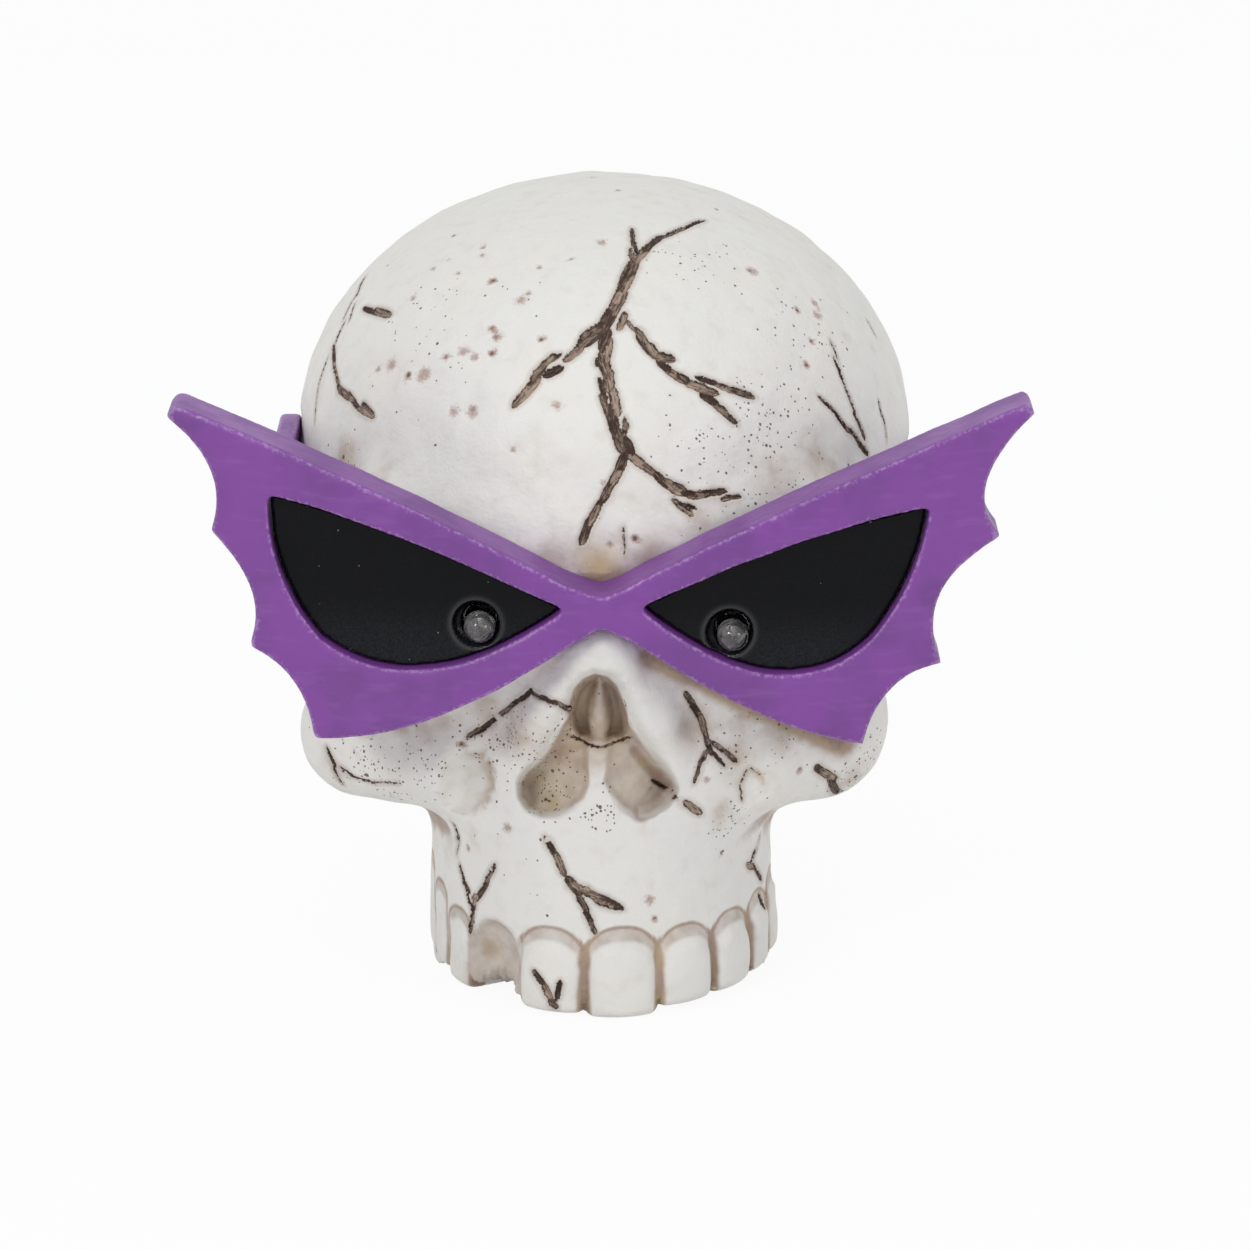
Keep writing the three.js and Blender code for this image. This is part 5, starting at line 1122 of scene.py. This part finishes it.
def metal(name, light, dark, rough_low, rough_high, size_mm):
    """Bare metal with drawn marks and dull spots."""
    material, tree, shader = new_material(name)
    place = place_in(tree)
    drawn = put(tree, "ShaderNodeMapping", {"Vector": place, "Scale": (1, 0.15, 1)}).outputs[0]
    marks = noise(tree, drawn, size_mm, 4)
    coloured = mix(tree, ramp(tree, marks, 0.35, 0.7), rgb(light), rgb(dark))
    rough = ramp(tree, marks, 0.3, 0.7, rough_low, rough_high)
    scored = bump(tree, marks, 0.02)
    fill(tree, shader, {"Base Color": coloured, "Metallic": 1.0, "Roughness": rough, "Normal": scored})
    return material


def plastic(name, base, pale, rough, grain_mm, depth_mm):
    """Moulded plastic with a spark-eroded grain and slightly paler patches."""
    material, tree, shader = new_material(name)
    place = place_in(tree)
    patches = ramp(tree, noise(tree, place, 6, 4), 0.35, 0.7)
    coloured = mix(tree, patches, rgb(base), rgb(pale))
    uneven = ramp(tree, noise(tree, place, 2, 3), 0.3, 0.7, rough - 0.06, rough + 0.06)
    grain = grouped(tree, grain_group(), {"Vector": place, "Grain": grain_mm, "Dents": 4.0, "Dent Share": 0.3})
    fill(tree, shader, {"Base Color": coloured, "Roughness": uneven, "Normal": bump(tree, grain, depth_mm)})
    return material


def cell_wrap():
    """Film of a plain cell: grey, with a green band towards one end."""
    material, tree, shader = new_material("cell_wrap")
    place = place_in(tree)
    low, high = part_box("battery_cell_left")
    along = put(tree, "ShaderNodeSeparateXYZ", {0: place}).outputs[1]
    band = maths(tree, "GREATER_THAN", along, low.y + (high.y - low.y) * 0.72)
    wear = noise(tree, place, 1.5, 4)
    film = mix(tree, band, (0.18, 0.19, 0.2, 1), (0.05, 0.2, 0.11, 1))
    coloured = mix(tree, ramp(tree, wear, 0.5, 0.8, 0, 0.3), film, (0.3, 0.31, 0.32, 1))
    rough = ramp(tree, wear, 0.3, 0.7, 0.25, 0.4)
    scuffed = bump(tree, wear, 0.02)
    fill(tree, shader, {"Base Color": coloured, "Metallic": 0.4, "Roughness": rough, "Normal": scuffed})
    return material


# The pieces


def finish_piece(obj, material, slot, *nodes):
    obj.data.materials.clear()
    obj.data.materials.append(material)
    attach(obj, "skull")
    if nodes:
        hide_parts(*nodes)
    return obj


class SKULL_OT_casting(bpy.types.Operator):
    """Sculpts the skull casting from the CAD shell, and carves its cracks and chips"""

    bl_idname = "skull.casting"
    bl_label = "Skull casting"

    def execute(self, context):
        settings = context.scene.skull_settings
        obj = copy_of_node("skull_shell", "skull_casting")
        self.fill_nose(obj)
        regrid(obj, settings.grid)
        guards = ["glasses_frame", "lens_left", "lens_right", "temple_arm_left", "temple_arm_right"]
        self.settle(obj, guards, 8)
        self.refine_face(obj)
        self.settle(obj, guards, 4)
        self.refine_details(obj)
        self.settle(obj, guards, 2)
        self.sink_face(obj, guards)
        tree = surface_tree(obj)
        chips = laid_chips(tree, settings.crack_scale)
        for reach, pit_share, size in ((1.6, 0.3, 0.5), (0.8, 0.6, 0.4)):
            centres = face_centres(obj)
            edge = near_cracks(centres, chips)[0]
            pits = near_pits(centres, tree)[0]
            large = face_sizes(obj) > size * MM
            divide_faces(obj, ((edge < reach) | (pits > pit_share)) & (centres[:, 1] < 0.02) & large)
        self.carve_marks(obj, tree, chips, guards)
        shade_smooth(obj)
        finish_piece(obj, painted_bone(settings), "bone_resin", "skull_shell")
        return {"FINISHED"}

    def fill_nose(self, obj):
        """A block in the plain hollow, so that the finer one can be drawn into it."""
        middle, sides = NOSE_PLUG
        place, scale = to_row(np.array(middle)), np.array(sides) * MM
        plug = added(bpy.ops.mesh.primitive_cube_add, size=1, location=place, scale=scale)
        apply_place()
        plug.select_set(True)
        obj.select_set(True)
        bpy.context.view_layer.objects.active = obj
        bpy.ops.object.join()

    def settle(self, obj, guards, rounds):
        """Draws the outside onto the form; cut faces inside and beside other pieces stay."""
        points = points_of(obj)
        sculpt = to_sculpt(points)
        away = np.abs(skull_distance(sculpt))
        front = smoothstep(NOSE_FRONT, NOSE_FRONT - 1.5, sculpt[:, 1])
        mouth = front * (sculpt[:, 2] < 30) * (np.abs(sculpt[:, 0]) < 34)
        nose = front * smoothstep(18, 16, np.abs(sculpt[:, 0]))
        nose = nose * smoothstep(28, 30, sculpt[:, 2]) * smoothstep(66, 64, sculpt[:, 2])
        weight = smoothstep(2.4, 1.5, away)
        weight = np.maximum(weight, mouth * smoothstep(5.0, 4.0, away))
        weight = np.maximum(weight, nose)
        under = (sculpt[:, 2] < 3.0) & (away > 0.9) & (sculpt[:, 1] > -50)
        weight[under] = 0
        close = np.nonzero(weight > 0)[0]
        weight[close] *= smoothstep(0.9, 2.2, clearance(points[close], guards))
        ends = edges_of(obj)
        for _ in range(max(1, rounds // 2)):
            sculpt[close] = drawn_onto(sculpt[close], skull_distance, weight[close], 2)
            even = evened(sculpt, ends, 1, 0.3)
            sculpt[close] += weight[close, None] * (even[close] - sculpt[close])
        sculpt[close] = drawn_onto(sculpt[close], skull_distance, weight[close], 2)
        sculpt[:, 2] = sculpt[:, 2].clip(0)
        set_points(obj, to_row(sculpt))

    def refine_details(self, obj):
        """Finer faces still, on the nose's hollows and along the gum."""
        sculpt = to_sculpt(face_centres(obj))
        px, py, _ = to_view(sculpt)
        near_nose = nose_relief(px, py)[1] < 14
        chosen = near_nose & (sculpt[:, 1] < NOSE_FRONT)
        for tooth, side in each_tooth():
            across, outwards, up, half_width, half_height = in_tooth(sculpt, tooth, side)
            gum = arched_face(across, up, half_width, half_height)
            chosen |= (np.abs(gum + 0.9) < 1.6) & (np.abs(outwards) < 3.5) & (np.abs(across) < half_width + 1.5)
        divide_faces(obj, chosen & ((np.abs(skull_distance(sculpt)) < 1.5) | near_nose))

    def sink_face(self, obj, guards):
        """Pushes the nose's hollows and the dents in, evens the nose's walls and leaves the whole cast a little uneven."""
        sculpt = to_sculpt(points_of(obj))
        ends = edges_of(obj)
        px, py, _ = to_view(sculpt)
        near_nose = smoothstep(16, 2, nose_relief(px, py)[1]) * (sculpt[:, 1] < NOSE_FRONT)
        sculpt = evened(sculpt, ends, 8, 0.5 * near_nose[:, None])
        sculpt = sunk_nose(sculpt)
        sculpt = evened(sculpt, ends, 3, 0.5 * near_nose[:, None])
        dents = dent_shapes(px, py)[0] * (sculpt[:, 1] < -20)
        sculpt = pushed_back(sculpt, dents)
        set_points(obj, to_row(sculpt))
        free = smoothstep(1.2, 4.0, clearance(points_of(obj), guards)) * smoothstep(1.0, 4.0, sculpt[:, 2])
        outside = np.abs(skull_distance(sculpt)) < 1.5
        ways = {k: np.array((math.sin(2.4 * k), math.cos(1.7 * k), math.sin(1.3 * k + 1))) for k in range(1, 13)}
        wave = sum(np.sin(sculpt @ way * (0.25 + 0.05 * k) + k * k) for k, way in ways.items())
        set_points(obj, points_of(obj) + normals_of(obj) * (0.035 * wave * free * outside)[:, None] * MM)

    def refine_face(self, obj):
        """Finer faces on the nose and the teeth."""
        sculpt = to_sculpt(face_centres(obj))
        nose = (np.abs(sculpt[:, 0]) < 17) & (sculpt[:, 1] < -38) & (sculpt[:, 2] > 30) & (sculpt[:, 2] < 66)
        mouth = (sculpt[:, 1] < -14) & (sculpt[:, 2] < 22) & (np.abs(sculpt[:, 0]) < 36)
        outside = np.abs(skull_distance(sculpt)) < 2.0
        divide_faces(obj, (nose | mouth) & outside)

    def carve_marks(self, obj, tree, chips, guards):
        points = points_of(obj)
        edge, (depth, along, across, tone) = near_cracks(points, chips)
        soft, core = near_pits(points, tree)
        ragged = 0.16 * np.sin(points[:, 0] / MM * 3.1 + 2 * np.sin(points[:, 2] / MM * 2.3))
        lip = 0.07 * bell(edge - 0.3, 0.3) * (edge < 1.5)
        sink = depth * (1 + ragged) - lip
        sink = sink + 0.12 * soft + 0.15 * core
        normals = normals_of(obj)
        set_points(obj, points - normals * sink[:, None] * MM)
        hollow = hollowness(obj, 14)
        guard = clearance(points, guards)
        wash = near_places(points, tree, WASHES)
        sculpt = to_sculpt(points)
        px, py, _ = to_view(sculpt)
        ahead = sculpt[:, 1] < -30
        forward = ahead & (normals[:, 1] < 0.2)
        # On faces that look forward, painted shadow of the frame with brown stain below it and thin stain above it; on
        # other faces near the glasses, painted shade
        below = smoothstep(66, 60, sculpt[:, 2])
        band = below * (0.95 * np.exp(-guard / 1.3) + 0.25 * np.exp(-guard / 5)) + (1 - below) * 0.32 * np.exp(-guard / 1.4)
        wash = np.maximum(wash, np.where(forward, band, 0.3 * np.exp(-guard / 2.0)))
        _, from_nose, nose_stain_and_shade = nose_relief(px, py)
        in_nose = (from_nose < 2) & ahead
        dent_wash = dent_shapes(px, py)[1] * ahead
        plain = (edge > 0.6) & ~in_nose & (dent_wash == 0)
        wash = np.maximum(wash, smoothstep(0.1, 0.6, hollow) * 0.75 * plain)
        wash = np.where(in_nose, nose_stain_and_shade, wash)
        # Painted shade along the lines of SHADES: the frame's shadow and the shade in the nose's lobes, with stain
        # along the frame's top edge
        for ax, ay, bx, by, reach, strength in SHADES:
            away = line_distance(px, py, ax, ay, bx, by)
            wash = np.maximum(wash, strength * bell(away, reach) * forward)
        wash = np.maximum(wash, dent_wash)
        wash = np.maximum(wash, self.gum_stain_and_shade(sculpt))
        store(obj, "crack", edge)
        store(obj, "inside", np.stack([along, across, tone], axis=1))
        store(obj, "pit", np.maximum(0.45 * soft, core))
        # wash holds brown stain together with painted shade: the frame's shadow, the shade in the nose and between the
        # teeth
        store(obj, "wash", wash)
        store(obj, "ochre", near_places(points, tree, OCHRES))
        store(obj, "speckle", near_places(points, tree, SPECKLES))

    def gum_stain_and_shade(self, sculpt):
        """Brown stain along the gum's arc over each tooth and in the step under it, with stain and painted shade
        between the teeth.
        """
        found = np.zeros(len(sculpt))
        for tooth, side in each_tooth():
            across, outwards, up, half_width, half_height = in_tooth(sculpt, tooth, side)
            near = (np.abs(outwards) < 4) & (np.abs(across) < half_width + 2)
            width = half_width - TOOTH_SIDE_GAP
            gum = arched_face(across, up, width, half_height)
            tooth_top = arched_face(across, up + GUM_RIM / 2, width, half_height - GUM_RIM / 2)
            arc = 0.8 * bell(gum + 0.05, 0.42) * smoothstep(-3, 0, up)
            step = 0.46 * (gum < 0) * smoothstep(-0.5, 0.3, tooth_top)
            inner = 0.3 * bell(tooth_top, 0.4) * (up > 0)
            deep = outwards + TOOTH_CROWN * across**2
            # Painted shade with brown stain in the gaps between the teeth, darker towards the bottom
            gap = (1.0 + 0.5 * smoothstep(1, -half_height, up)) * smoothstep(-1.5, -0.1, np.abs(across) - width)
            gap = gap * smoothstep(0.3, -1.1, deep) * smoothstep(0.9, 0.3, gum)
            found = np.maximum(found, np.where(near, np.maximum.reduce([arc, step, inner, gap]), 0))
        across, outwards, up, half_width, half_height = in_tooth(sculpt, MISSING_TOOTH, -1)
        away = np.hypot(across / half_width, (up - SOCKET_LIFT) / (half_height - SOCKET_SHORTER))
        socket = smoothstep(1.02, 0.85, away) * 0.5 + 0.25 * bell(away - 0.99, 0.06)
        return np.where((np.abs(outwards) < 6) & (away < 1.1), np.maximum(socket, np.minimum(found, 0.5)), found)


def outline_curve(name, *runs):
    """A flat filled curve from runs of quadratic bends; the first run is the outline and the others are holes."""
    data = bpy.data.curves.new(name, "CURVE")
    data.dimensions = "2D"
    data.fill_mode = "BOTH"
    data.resolution_u = 20
    for start, bends in runs:
        points = [Vector(glasses_place(*start))]
        lefts, rights = [None], []
        for bend in bends:
            control, end = Vector(glasses_place(*bend[:2])), Vector(glasses_place(*bend[2:]))
            rights.append(points[-1].lerp(control, 2 / 3))
            lefts.append(end.lerp(control, 2 / 3))
            points.append(end)
        rights.append(points[-1])
        lefts[0] = points[0]
        closed = (points[0] - points[-1]).length < 1e-6
        if closed:
            lefts[0] = lefts.pop()
            points.pop()
            rights.pop()
        spline = data.splines.new("BEZIER")
        spline.bezier_points.add(len(points) - 1)
        spline.use_cyclic_u = True
        for made, point, left, right in zip(spline.bezier_points, points, lefts, rights):
            made.handle_left_type = made.handle_right_type = "FREE"
            made.co, made.handle_left, made.handle_right = (*point, 0), (*left, 0), (*right, 0)
    return new_object(name, data)


def glasses_place(share_x, share_z):
    return (share_x * GLASSES_SPAN * MM, (EYE_LINE + share_z * GLASSES_RISE) * MM)


def wrap_depth(x):
    return x * x / (2 * GLASSES_WRAP_RADIUS)


def raised(curve, front, back):
    """The flat curve as a closed mesh standing in the XZ plane, between two depths behind the glasses' front."""
    curve.data.extrude = (back - front) / 2 * MM
    select_only(curve)
    bpy.ops.object.convert(target="MESH")
    obj = bpy.context.view_layer.objects.active
    points = points_of(obj)
    middle = GLASSES_FRONT + (front + back) / 2
    set_points(obj, np.stack([points[:, 0], middle * MM - points[:, 2], points[:, 1]], axis=1))
    merge_doubles(obj, 0.01 * MM, turn_out=True)
    return obj


def wrap_back(obj):
    """From the sculpt's flat frame to the row frame, bent back along the wrap."""
    points = points_of(obj)
    points[:, 1] += wrap_depth(points[:, 0] / MM) * MM
    set_points(obj, points + np.array(SHIFT))


def wing_runs():
    back = list(reversed(RIGHT_WING))
    bends = list(LEFT_WING)
    bends.append((*BRIDGE_FOOT, *BRIDGE_FOOT))
    bends.append((*back[0][2:], *back[0][2:]))
    for i, run in enumerate(back):
        end = back[i + 1][2:] if i + 1 < len(back) else BRIDGE_TOP
        bends.append((*run[:2], *end))
    return BRIDGE_TOP, bends


class SKULL_OT_glasses(bpy.types.Operator):
    """Models the bat-wing front from its outline, with softened edges"""

    bl_idname = "skull.glasses"
    bl_label = "Glasses frame"

    def execute(self, context):
        settings = context.scene.glasses_settings
        holes = [(LENS_OUTLINES[side][0], LENS_OUTLINES[side][1:]) for side in ("left", "right")]
        curve = outline_curve("glasses_front", wing_runs(), *holes)
        obj = raised(curve, 0, GLASSES_THICKNESS)
        regrid(obj, settings.grid)
        ends = edges_of(obj)
        points = evened(points_of(obj), ends, 5, 0.5)
        wave = 0.06 * MM * np.sin(points[:, 0] * 420 + 2 * np.sin(points[:, 2] * 310))
        points[:, 2] += wave
        set_points(obj, points)
        store(obj, "hollow", hollowness(obj, 6))
        wrap_back(obj)
        shade_smooth(obj)
        paint = bpy.data.materials.get(PAINT_NAME) or purple_paint(settings)
        finish_piece(obj, paint, "purple_paint", "glasses_frame")
        return {"FINISHED"}


class SKULL_OT_arms(bpy.types.Operator):
    """Softens both temple arms and paints them"""

    bl_idname = "skull.arms"
    bl_label = "Temple arms"

    def execute(self, context):
        settings = context.scene.glasses_settings
        paint = bpy.data.materials.get(PAINT_NAME) or purple_paint(settings)
        for side in ("left", "right"):
            obj = copy_of_node(f"temple_arm_{side}", f"painted_arm_{side}")
            regrid(obj, settings.grid)
            set_points(obj, evened(points_of(obj), edges_of(obj), 6, 0.5))
            store(obj, "hollow", hollowness(obj, 8))
            shade_smooth(obj)
            finish_piece(obj, paint, "purple_paint", f"temple_arm_{side}")
        return {"FINISHED"}


class SKULL_OT_lenses(bpy.types.Operator):
    """Models both dished lenses with the socket for the LED"""

    bl_idname = "skull.lenses"
    bl_label = "Lenses"

    def execute(self, context):
        settings = context.scene.glasses_settings
        lacquer = lens_lacquer(settings)
        for side, sign in (("left", -1), ("right", 1)):
            outline = LENS_OUTLINES[side]
            curve = outline_curve(f"lens_{side}_form", (outline[0], outline[1:]))
            curve.data.offset = -0.3 * MM
            obj = raised(curve, LENS_RECESS, LENS_RECESS + LENS_THICKNESS)
            obj.name = f"black_lens_{side}"
            regrid(obj, 0.4 * MM)
            set_points(obj, evened(points_of(obj), edges_of(obj), 2, 0.5))
            self.dish(obj, sign)
            wrap_back(obj)
            shade_smooth(obj)
            finish_piece(obj, lacquer, "lens_black", f"lens_{side}")
        return {"FINISHED"}

    def dish(self, obj, sign):
        """Moves the front back into a shallow dish, with a round socket around the LED."""
        points = points_of(obj)
        flat = points / MM
        front = GLASSES_FRONT + LENS_RECESS
        middle = (flat.max(0) + flat.min(0)) / 2
        half_x, half_z = (flat.max(0) - flat.min(0))[[0, 2]] / 2
        ex, ez = (flat[:, 0] - middle[0]) / (half_x * 1.12), (flat[:, 2] - middle[2]) / (half_z * 1.16)
        bowl = 2 * LENS_DISH * np.sqrt((1 - ex**2 - ez**2).clip(0)) - LENS_DISH
        bowl = 0.25 * np.log1p(np.exp(bowl.clip(-20, 20) / 0.25))
        led_x, ring_x = sign * EYE_HALF_SPACING + LED_SIDE_SHIFT, sign * EYE_HALF_SPACING
        led_z = EYE_LINE - sign * EYE_TILT
        ring = np.hypot(flat[:, 0] - ring_x, flat[:, 2] - led_z)
        hole = np.hypot(flat[:, 0] - led_x, flat[:, 2] - led_z)
        socket = 1.4 * smoothstep(3.9, 3.2, ring) - 0.22 * bell(ring - 4.15, 0.35)
        socket = socket + 3.0 * smoothstep(2.95, 2.6, hole)
        share = smoothstep(front + 3.2, front + 0.6, flat[:, 1])
        points[:, 1] += share * (bowl + socket) * MM
        set_points(obj, points)
        edge = np.minimum(1, np.abs(np.maximum(np.abs(ex), np.abs(ez))))
        store(obj, "rim", smoothstep(0.82, 0.92, edge) * smoothstep(front + 1.5, front, flat[:, 1]) * 0.4)
        store(obj, "ring", bell(ring - 4.0, 0.5))
        # Film of dust with a painted sheen, stronger towards the bottom
        store(obj, "dusty", 0.02 + 0.09 * smoothstep(-0.1, -0.75, ez))


def turned(name, profile, place, segments=48):
    """Rings stacked along -Y from a place: the profile holds (radius, distance forwards), both in millimetres."""
    radius, start = profile[0]
    at = Vector(place) + Vector((0, -start * MM, 0))
    ring = {"vertices": segments, "radius": radius * MM, "fill_type": "NGON"}
    obj = added(bpy.ops.mesh.primitive_circle_add, location=at, rotation=(math.pi / 2, 0, 0), **ring)
    obj.name = name
    obj.data.name = name
    apply_place()
    bpy.context.tool_settings.mesh_select_mode = (False, False, True)
    bpy.ops.object.mode_set(mode="EDIT")
    bpy.ops.mesh.select_all(action="SELECT")
    for (radius, start), (wide, end) in zip(profile, profile[1:]):
        bpy.ops.mesh.extrude_region_move(TRANSFORM_OT_translate={"value": (0, -(end - start) * MM, 0)})
        share = max(wide, 0.01) / max(radius, 0.01)
        centre = Vector(place) + Vector((0, -end * MM, 0))
        bpy.ops.transform.resize(value=(share, share, share), center_override=centre)
    bpy.ops.mesh.select_all(action="SELECT")
    bpy.ops.mesh.normals_make_consistent(inside=False)
    bpy.ops.object.mode_set(mode="OBJECT")
    return obj


def led_place(side):
    """The middle of an LED's back face."""
    low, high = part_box(f"led_{side}")
    return Vector(((low.x + high.x) / 2, high.y, (low.z + high.z) / 2))


class SKULL_OT_leds(bpy.types.Operator):
    """Turns the clear LEDs, with the cup and the post that show inside them"""

    bl_idname = "skull.leds"
    bl_label = "LEDs"

    def execute(self, context):
        settings = context.scene.glasses_settings
        epoxy = clear_epoxy(settings)
        silver = metal("silvered_cup", (0.34, 0.33, 0.32), (0.12, 0.11, 0.1), 0.25, 0.45, 0.5)
        for side in ("left", "right"):
            place = led_place(side)
            angles = np.linspace(0, math.pi / 2 * 0.98, 12)
            dome = [(LED_RADIUS * math.cos(a), LED_DOME_START + LED_RADIUS * math.sin(a)) for a in angles]
            obj = turned(f"clear_led_{side}", [*LED_FLANGE, *dome], place)
            shade_smooth(obj, LED_SHARP_ANGLE)
            finish_piece(obj, epoxy, "clear_epoxy", f"led_{side}")
            self.inside(side, place, silver)
        return {"FINISHED"}

    def inside(self, side, place, silver):
        for name, across, profile, segments in LED_INSIDES:
            obj = turned(f"led_{name}_{side}", profile, place + Vector((across * MM, 0, 0)), segments)
            shade_smooth(obj, LED_SHARP_ANGLE)
            finish_piece(obj, silver, "tinned_steel")


class SKULL_OT_inner_parts(bpy.types.Operator):
    """Gives every CAD node that stays its own finish"""

    bl_idname = "skull.inner_parts"
    bl_label = "Battery box and wiring"

    def execute(self, context):
        steel = metal("tinned_steel", (0.75, 0.74, 0.72), (0.5, 0.49, 0.47), 0.2, 0.4, 0.8)
        nickel = metal("nickel_steel", (0.72, 0.69, 0.62), (0.42, 0.4, 0.36), 0.18, 0.36, 1.2)
        box = plastic("box_plastic", (0.035, 0.035, 0.037), (0.05, 0.05, 0.052), 0.42, 0.5, 0.05)
        knob = plastic("knob_plastic", (0.02, 0.02, 0.02), (0.035, 0.035, 0.035), 0.34, 0.3, 0.03)
        red = plastic("red_insulation", (0.42, 0.02, 0.015), (0.5, 0.05, 0.03), 0.36, 0.4, 0.02)
        black = plastic("black_insulation", (0.015, 0.015, 0.016), (0.03, 0.03, 0.03), 0.38, 0.4, 0.02)
        shrink = plastic("shrink_sleeve", (0.02, 0.02, 0.022), (0.04, 0.04, 0.042), 0.5, 0.3, 0.03)
        wrap = cell_wrap()
        finishes = {
            "battery_box": box,
            "battery_cover": box,
            "battery_cell_left": wrap,
            "battery_cell_right": wrap,
            "switch_slider": knob,
        }
        for node in ("spring_left", "spring_right", "negative_plate", "positive_plate", "link_plate", "switch_body"):
            finishes[node] = nickel
        for side in ("left", "right"):
            finishes[f"{side}_red_wire"] = red
            finishes[f"{side}_black_wire"] = black
            for pole in ("anode", "cathode"):
                finishes[f"{side}_{pole}_lead"] = steel
                finishes[f"{side}_{pole}_sleeve"] = shrink
        for node, material in finishes.items():
            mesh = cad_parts[node].data
            mesh.materials.clear()
            mesh.materials.append(material)
        return {"FINISHED"}


class SKULL_OT_stage(bpy.types.Operator):
    """Sets the pale floor, the soft lamps, the white backdrop and the camera"""

    bl_idname = "skull.stage"
    bl_label = "Stage"

    def execute(self, context):
        scene = context.scene
        settings = scene.stage_settings
        self.floor(settings.floor_size)
        self.backdrop(scene)
        for name, place, size, power in LAMPS:
            self.lamp(name, Vector(place), size, getattr(settings, power))
        self.camera(scene)
        scene.view_settings.view_transform = "Standard"
        return {"FINISHED"}

    def seen(self, tree):
        """One where the camera, a gloss or a glass sees the background."""
        path = put(tree, "ShaderNodeLightPath").outputs
        found = maths(tree, "MAXIMUM", path["Is Camera Ray"], path["Is Glossy Ray"])
        return maths(tree, "MAXIMUM", found, path["Is Transmission Ray"])

    def floor(self, size):
        obj = added(bpy.ops.mesh.primitive_plane_add, size=size, location=(0, 0, -0.02 * MM))
        obj.name = "floor"
        apply_place()
        material, tree, shader = new_material("pale_floor")
        fill(tree, shader, {"Base Color": (0.9, 0.9, 0.9, 1), "Roughness": 0.8})
        white = put(tree, "ShaderNodeEmission", {"Color": (1, 1, 1, 1), "Strength": 1.0}).outputs[0]
        share = maths(tree, "MULTIPLY", self.seen(tree), 0.93)
        both = put(tree, "ShaderNodeMixShader", {0: share, 1: shader.outputs[0], 2: white}).outputs[0]
        below = put(tree, "ShaderNodeNewGeometry").outputs["Backfacing"]
        clear = put(tree, "ShaderNodeBsdfTransparent").outputs[0]
        open_below = put(tree, "ShaderNodeMixShader", {0: below, 1: both, 2: clear}).outputs[0]
        tree.links.new(open_below, tree.nodes["Material Output"].inputs["Surface"])
        obj.data.materials.append(material)

    def backdrop(self, scene):
        world = bpy.data.worlds.new("white_backdrop")
        scene.world = world
        world.use_nodes = True
        tree = world.node_tree
        back = tree.nodes["Background"]
        fill(tree, back, {"Color": (0.95, 0.97, 1.0, 1), "Strength": 0.58})
        white = put(tree, "ShaderNodeBackground", {"Color": (1, 1, 1, 1), "Strength": 1.0}).outputs[0]
        both = put(tree, "ShaderNodeMixShader", {0: self.seen(tree), 1: back.outputs[0], 2: white}).outputs[0]
        tree.links.new(both, tree.nodes["World Output"].inputs["Surface"])

    def lamp(self, name, place, size, power):
        lamp = added(bpy.ops.object.light_add, type="AREA", location=place)
        lamp.name = name
        lamp.data.shape = "DISK"
        lamp.data.size = size
        lamp.data.energy = power
        lamp.rotation_euler = (Vector(LAMP_AIM) - place).to_track_quat("-Z", "Y").to_euler()

    def camera(self, scene):
        eye, _ = photo_ray(VIEW_FRAME / 2, VIEW_FRAME / 2)
        tilt = (math.pi / 2 - VIEW_ELEVATION, 0, 0)
        camera = added(bpy.ops.object.camera_add, location=eye, rotation=tilt)
        camera.data.sensor_width = SENSOR
        camera.data.lens = SENSOR * VIEW_FOCAL / VIEW_FRAME
        camera.data.clip_start = 0.05
        camera.data.clip_end = 20
        scene.camera = camera


class SKULL_PT_panel(bpy.types.Panel):
    """Lists the steps of the build"""

    bl_label = "Halloween skull"
    bl_idname = "SKULL_PT_panel"
    bl_space_type = "VIEW_3D"
    bl_region_type = "UI"
    bl_category = "Skull"

    def draw(self, context):
        for group in ("skull_settings", "glasses_settings", "stage_settings"):
            settings = getattr(context.scene, group)
            box = self.layout.box()
            for name in settings.bl_rna.properties.keys():
                if name not in ("rna_type", "name"):
                    box.prop(settings, name)
        for step in OPERATORS:
            self.layout.operator(step.bl_idname)


SETTINGS = {"skull_settings": SkullSettings, "glasses_settings": GlassesSettings, "stage_settings": StageSettings}
OPERATORS = (
    SKULL_OT_casting,
    SKULL_OT_glasses,
    SKULL_OT_arms,
    SKULL_OT_lenses,
    SKULL_OT_leds,
    SKULL_OT_inner_parts,
    SKULL_OT_stage,
)


def register():
    for kind in (*SETTINGS.values(), *OPERATORS, SKULL_PT_panel):
        bpy.utils.register_class(kind)
    for name, kind in SETTINGS.items():
        setattr(bpy.types.Scene, name, PointerProperty(type=kind))


def unregister():
    for name in SETTINGS:
        delattr(bpy.types.Scene, name)
    for kind in reversed((*SETTINGS.values(), *OPERATORS, SKULL_PT_panel)):
        bpy.utils.unregister_class(kind)


def main():
    register()
    bpy.ops.skull.casting()
    bpy.ops.skull.glasses()
    bpy.ops.skull.arms()
    bpy.ops.skull.lenses()
    bpy.ops.skull.leds()
    bpy.ops.skull.inner_parts()
    bpy.ops.skull.stage()


if __name__ == "__main__":
    main()
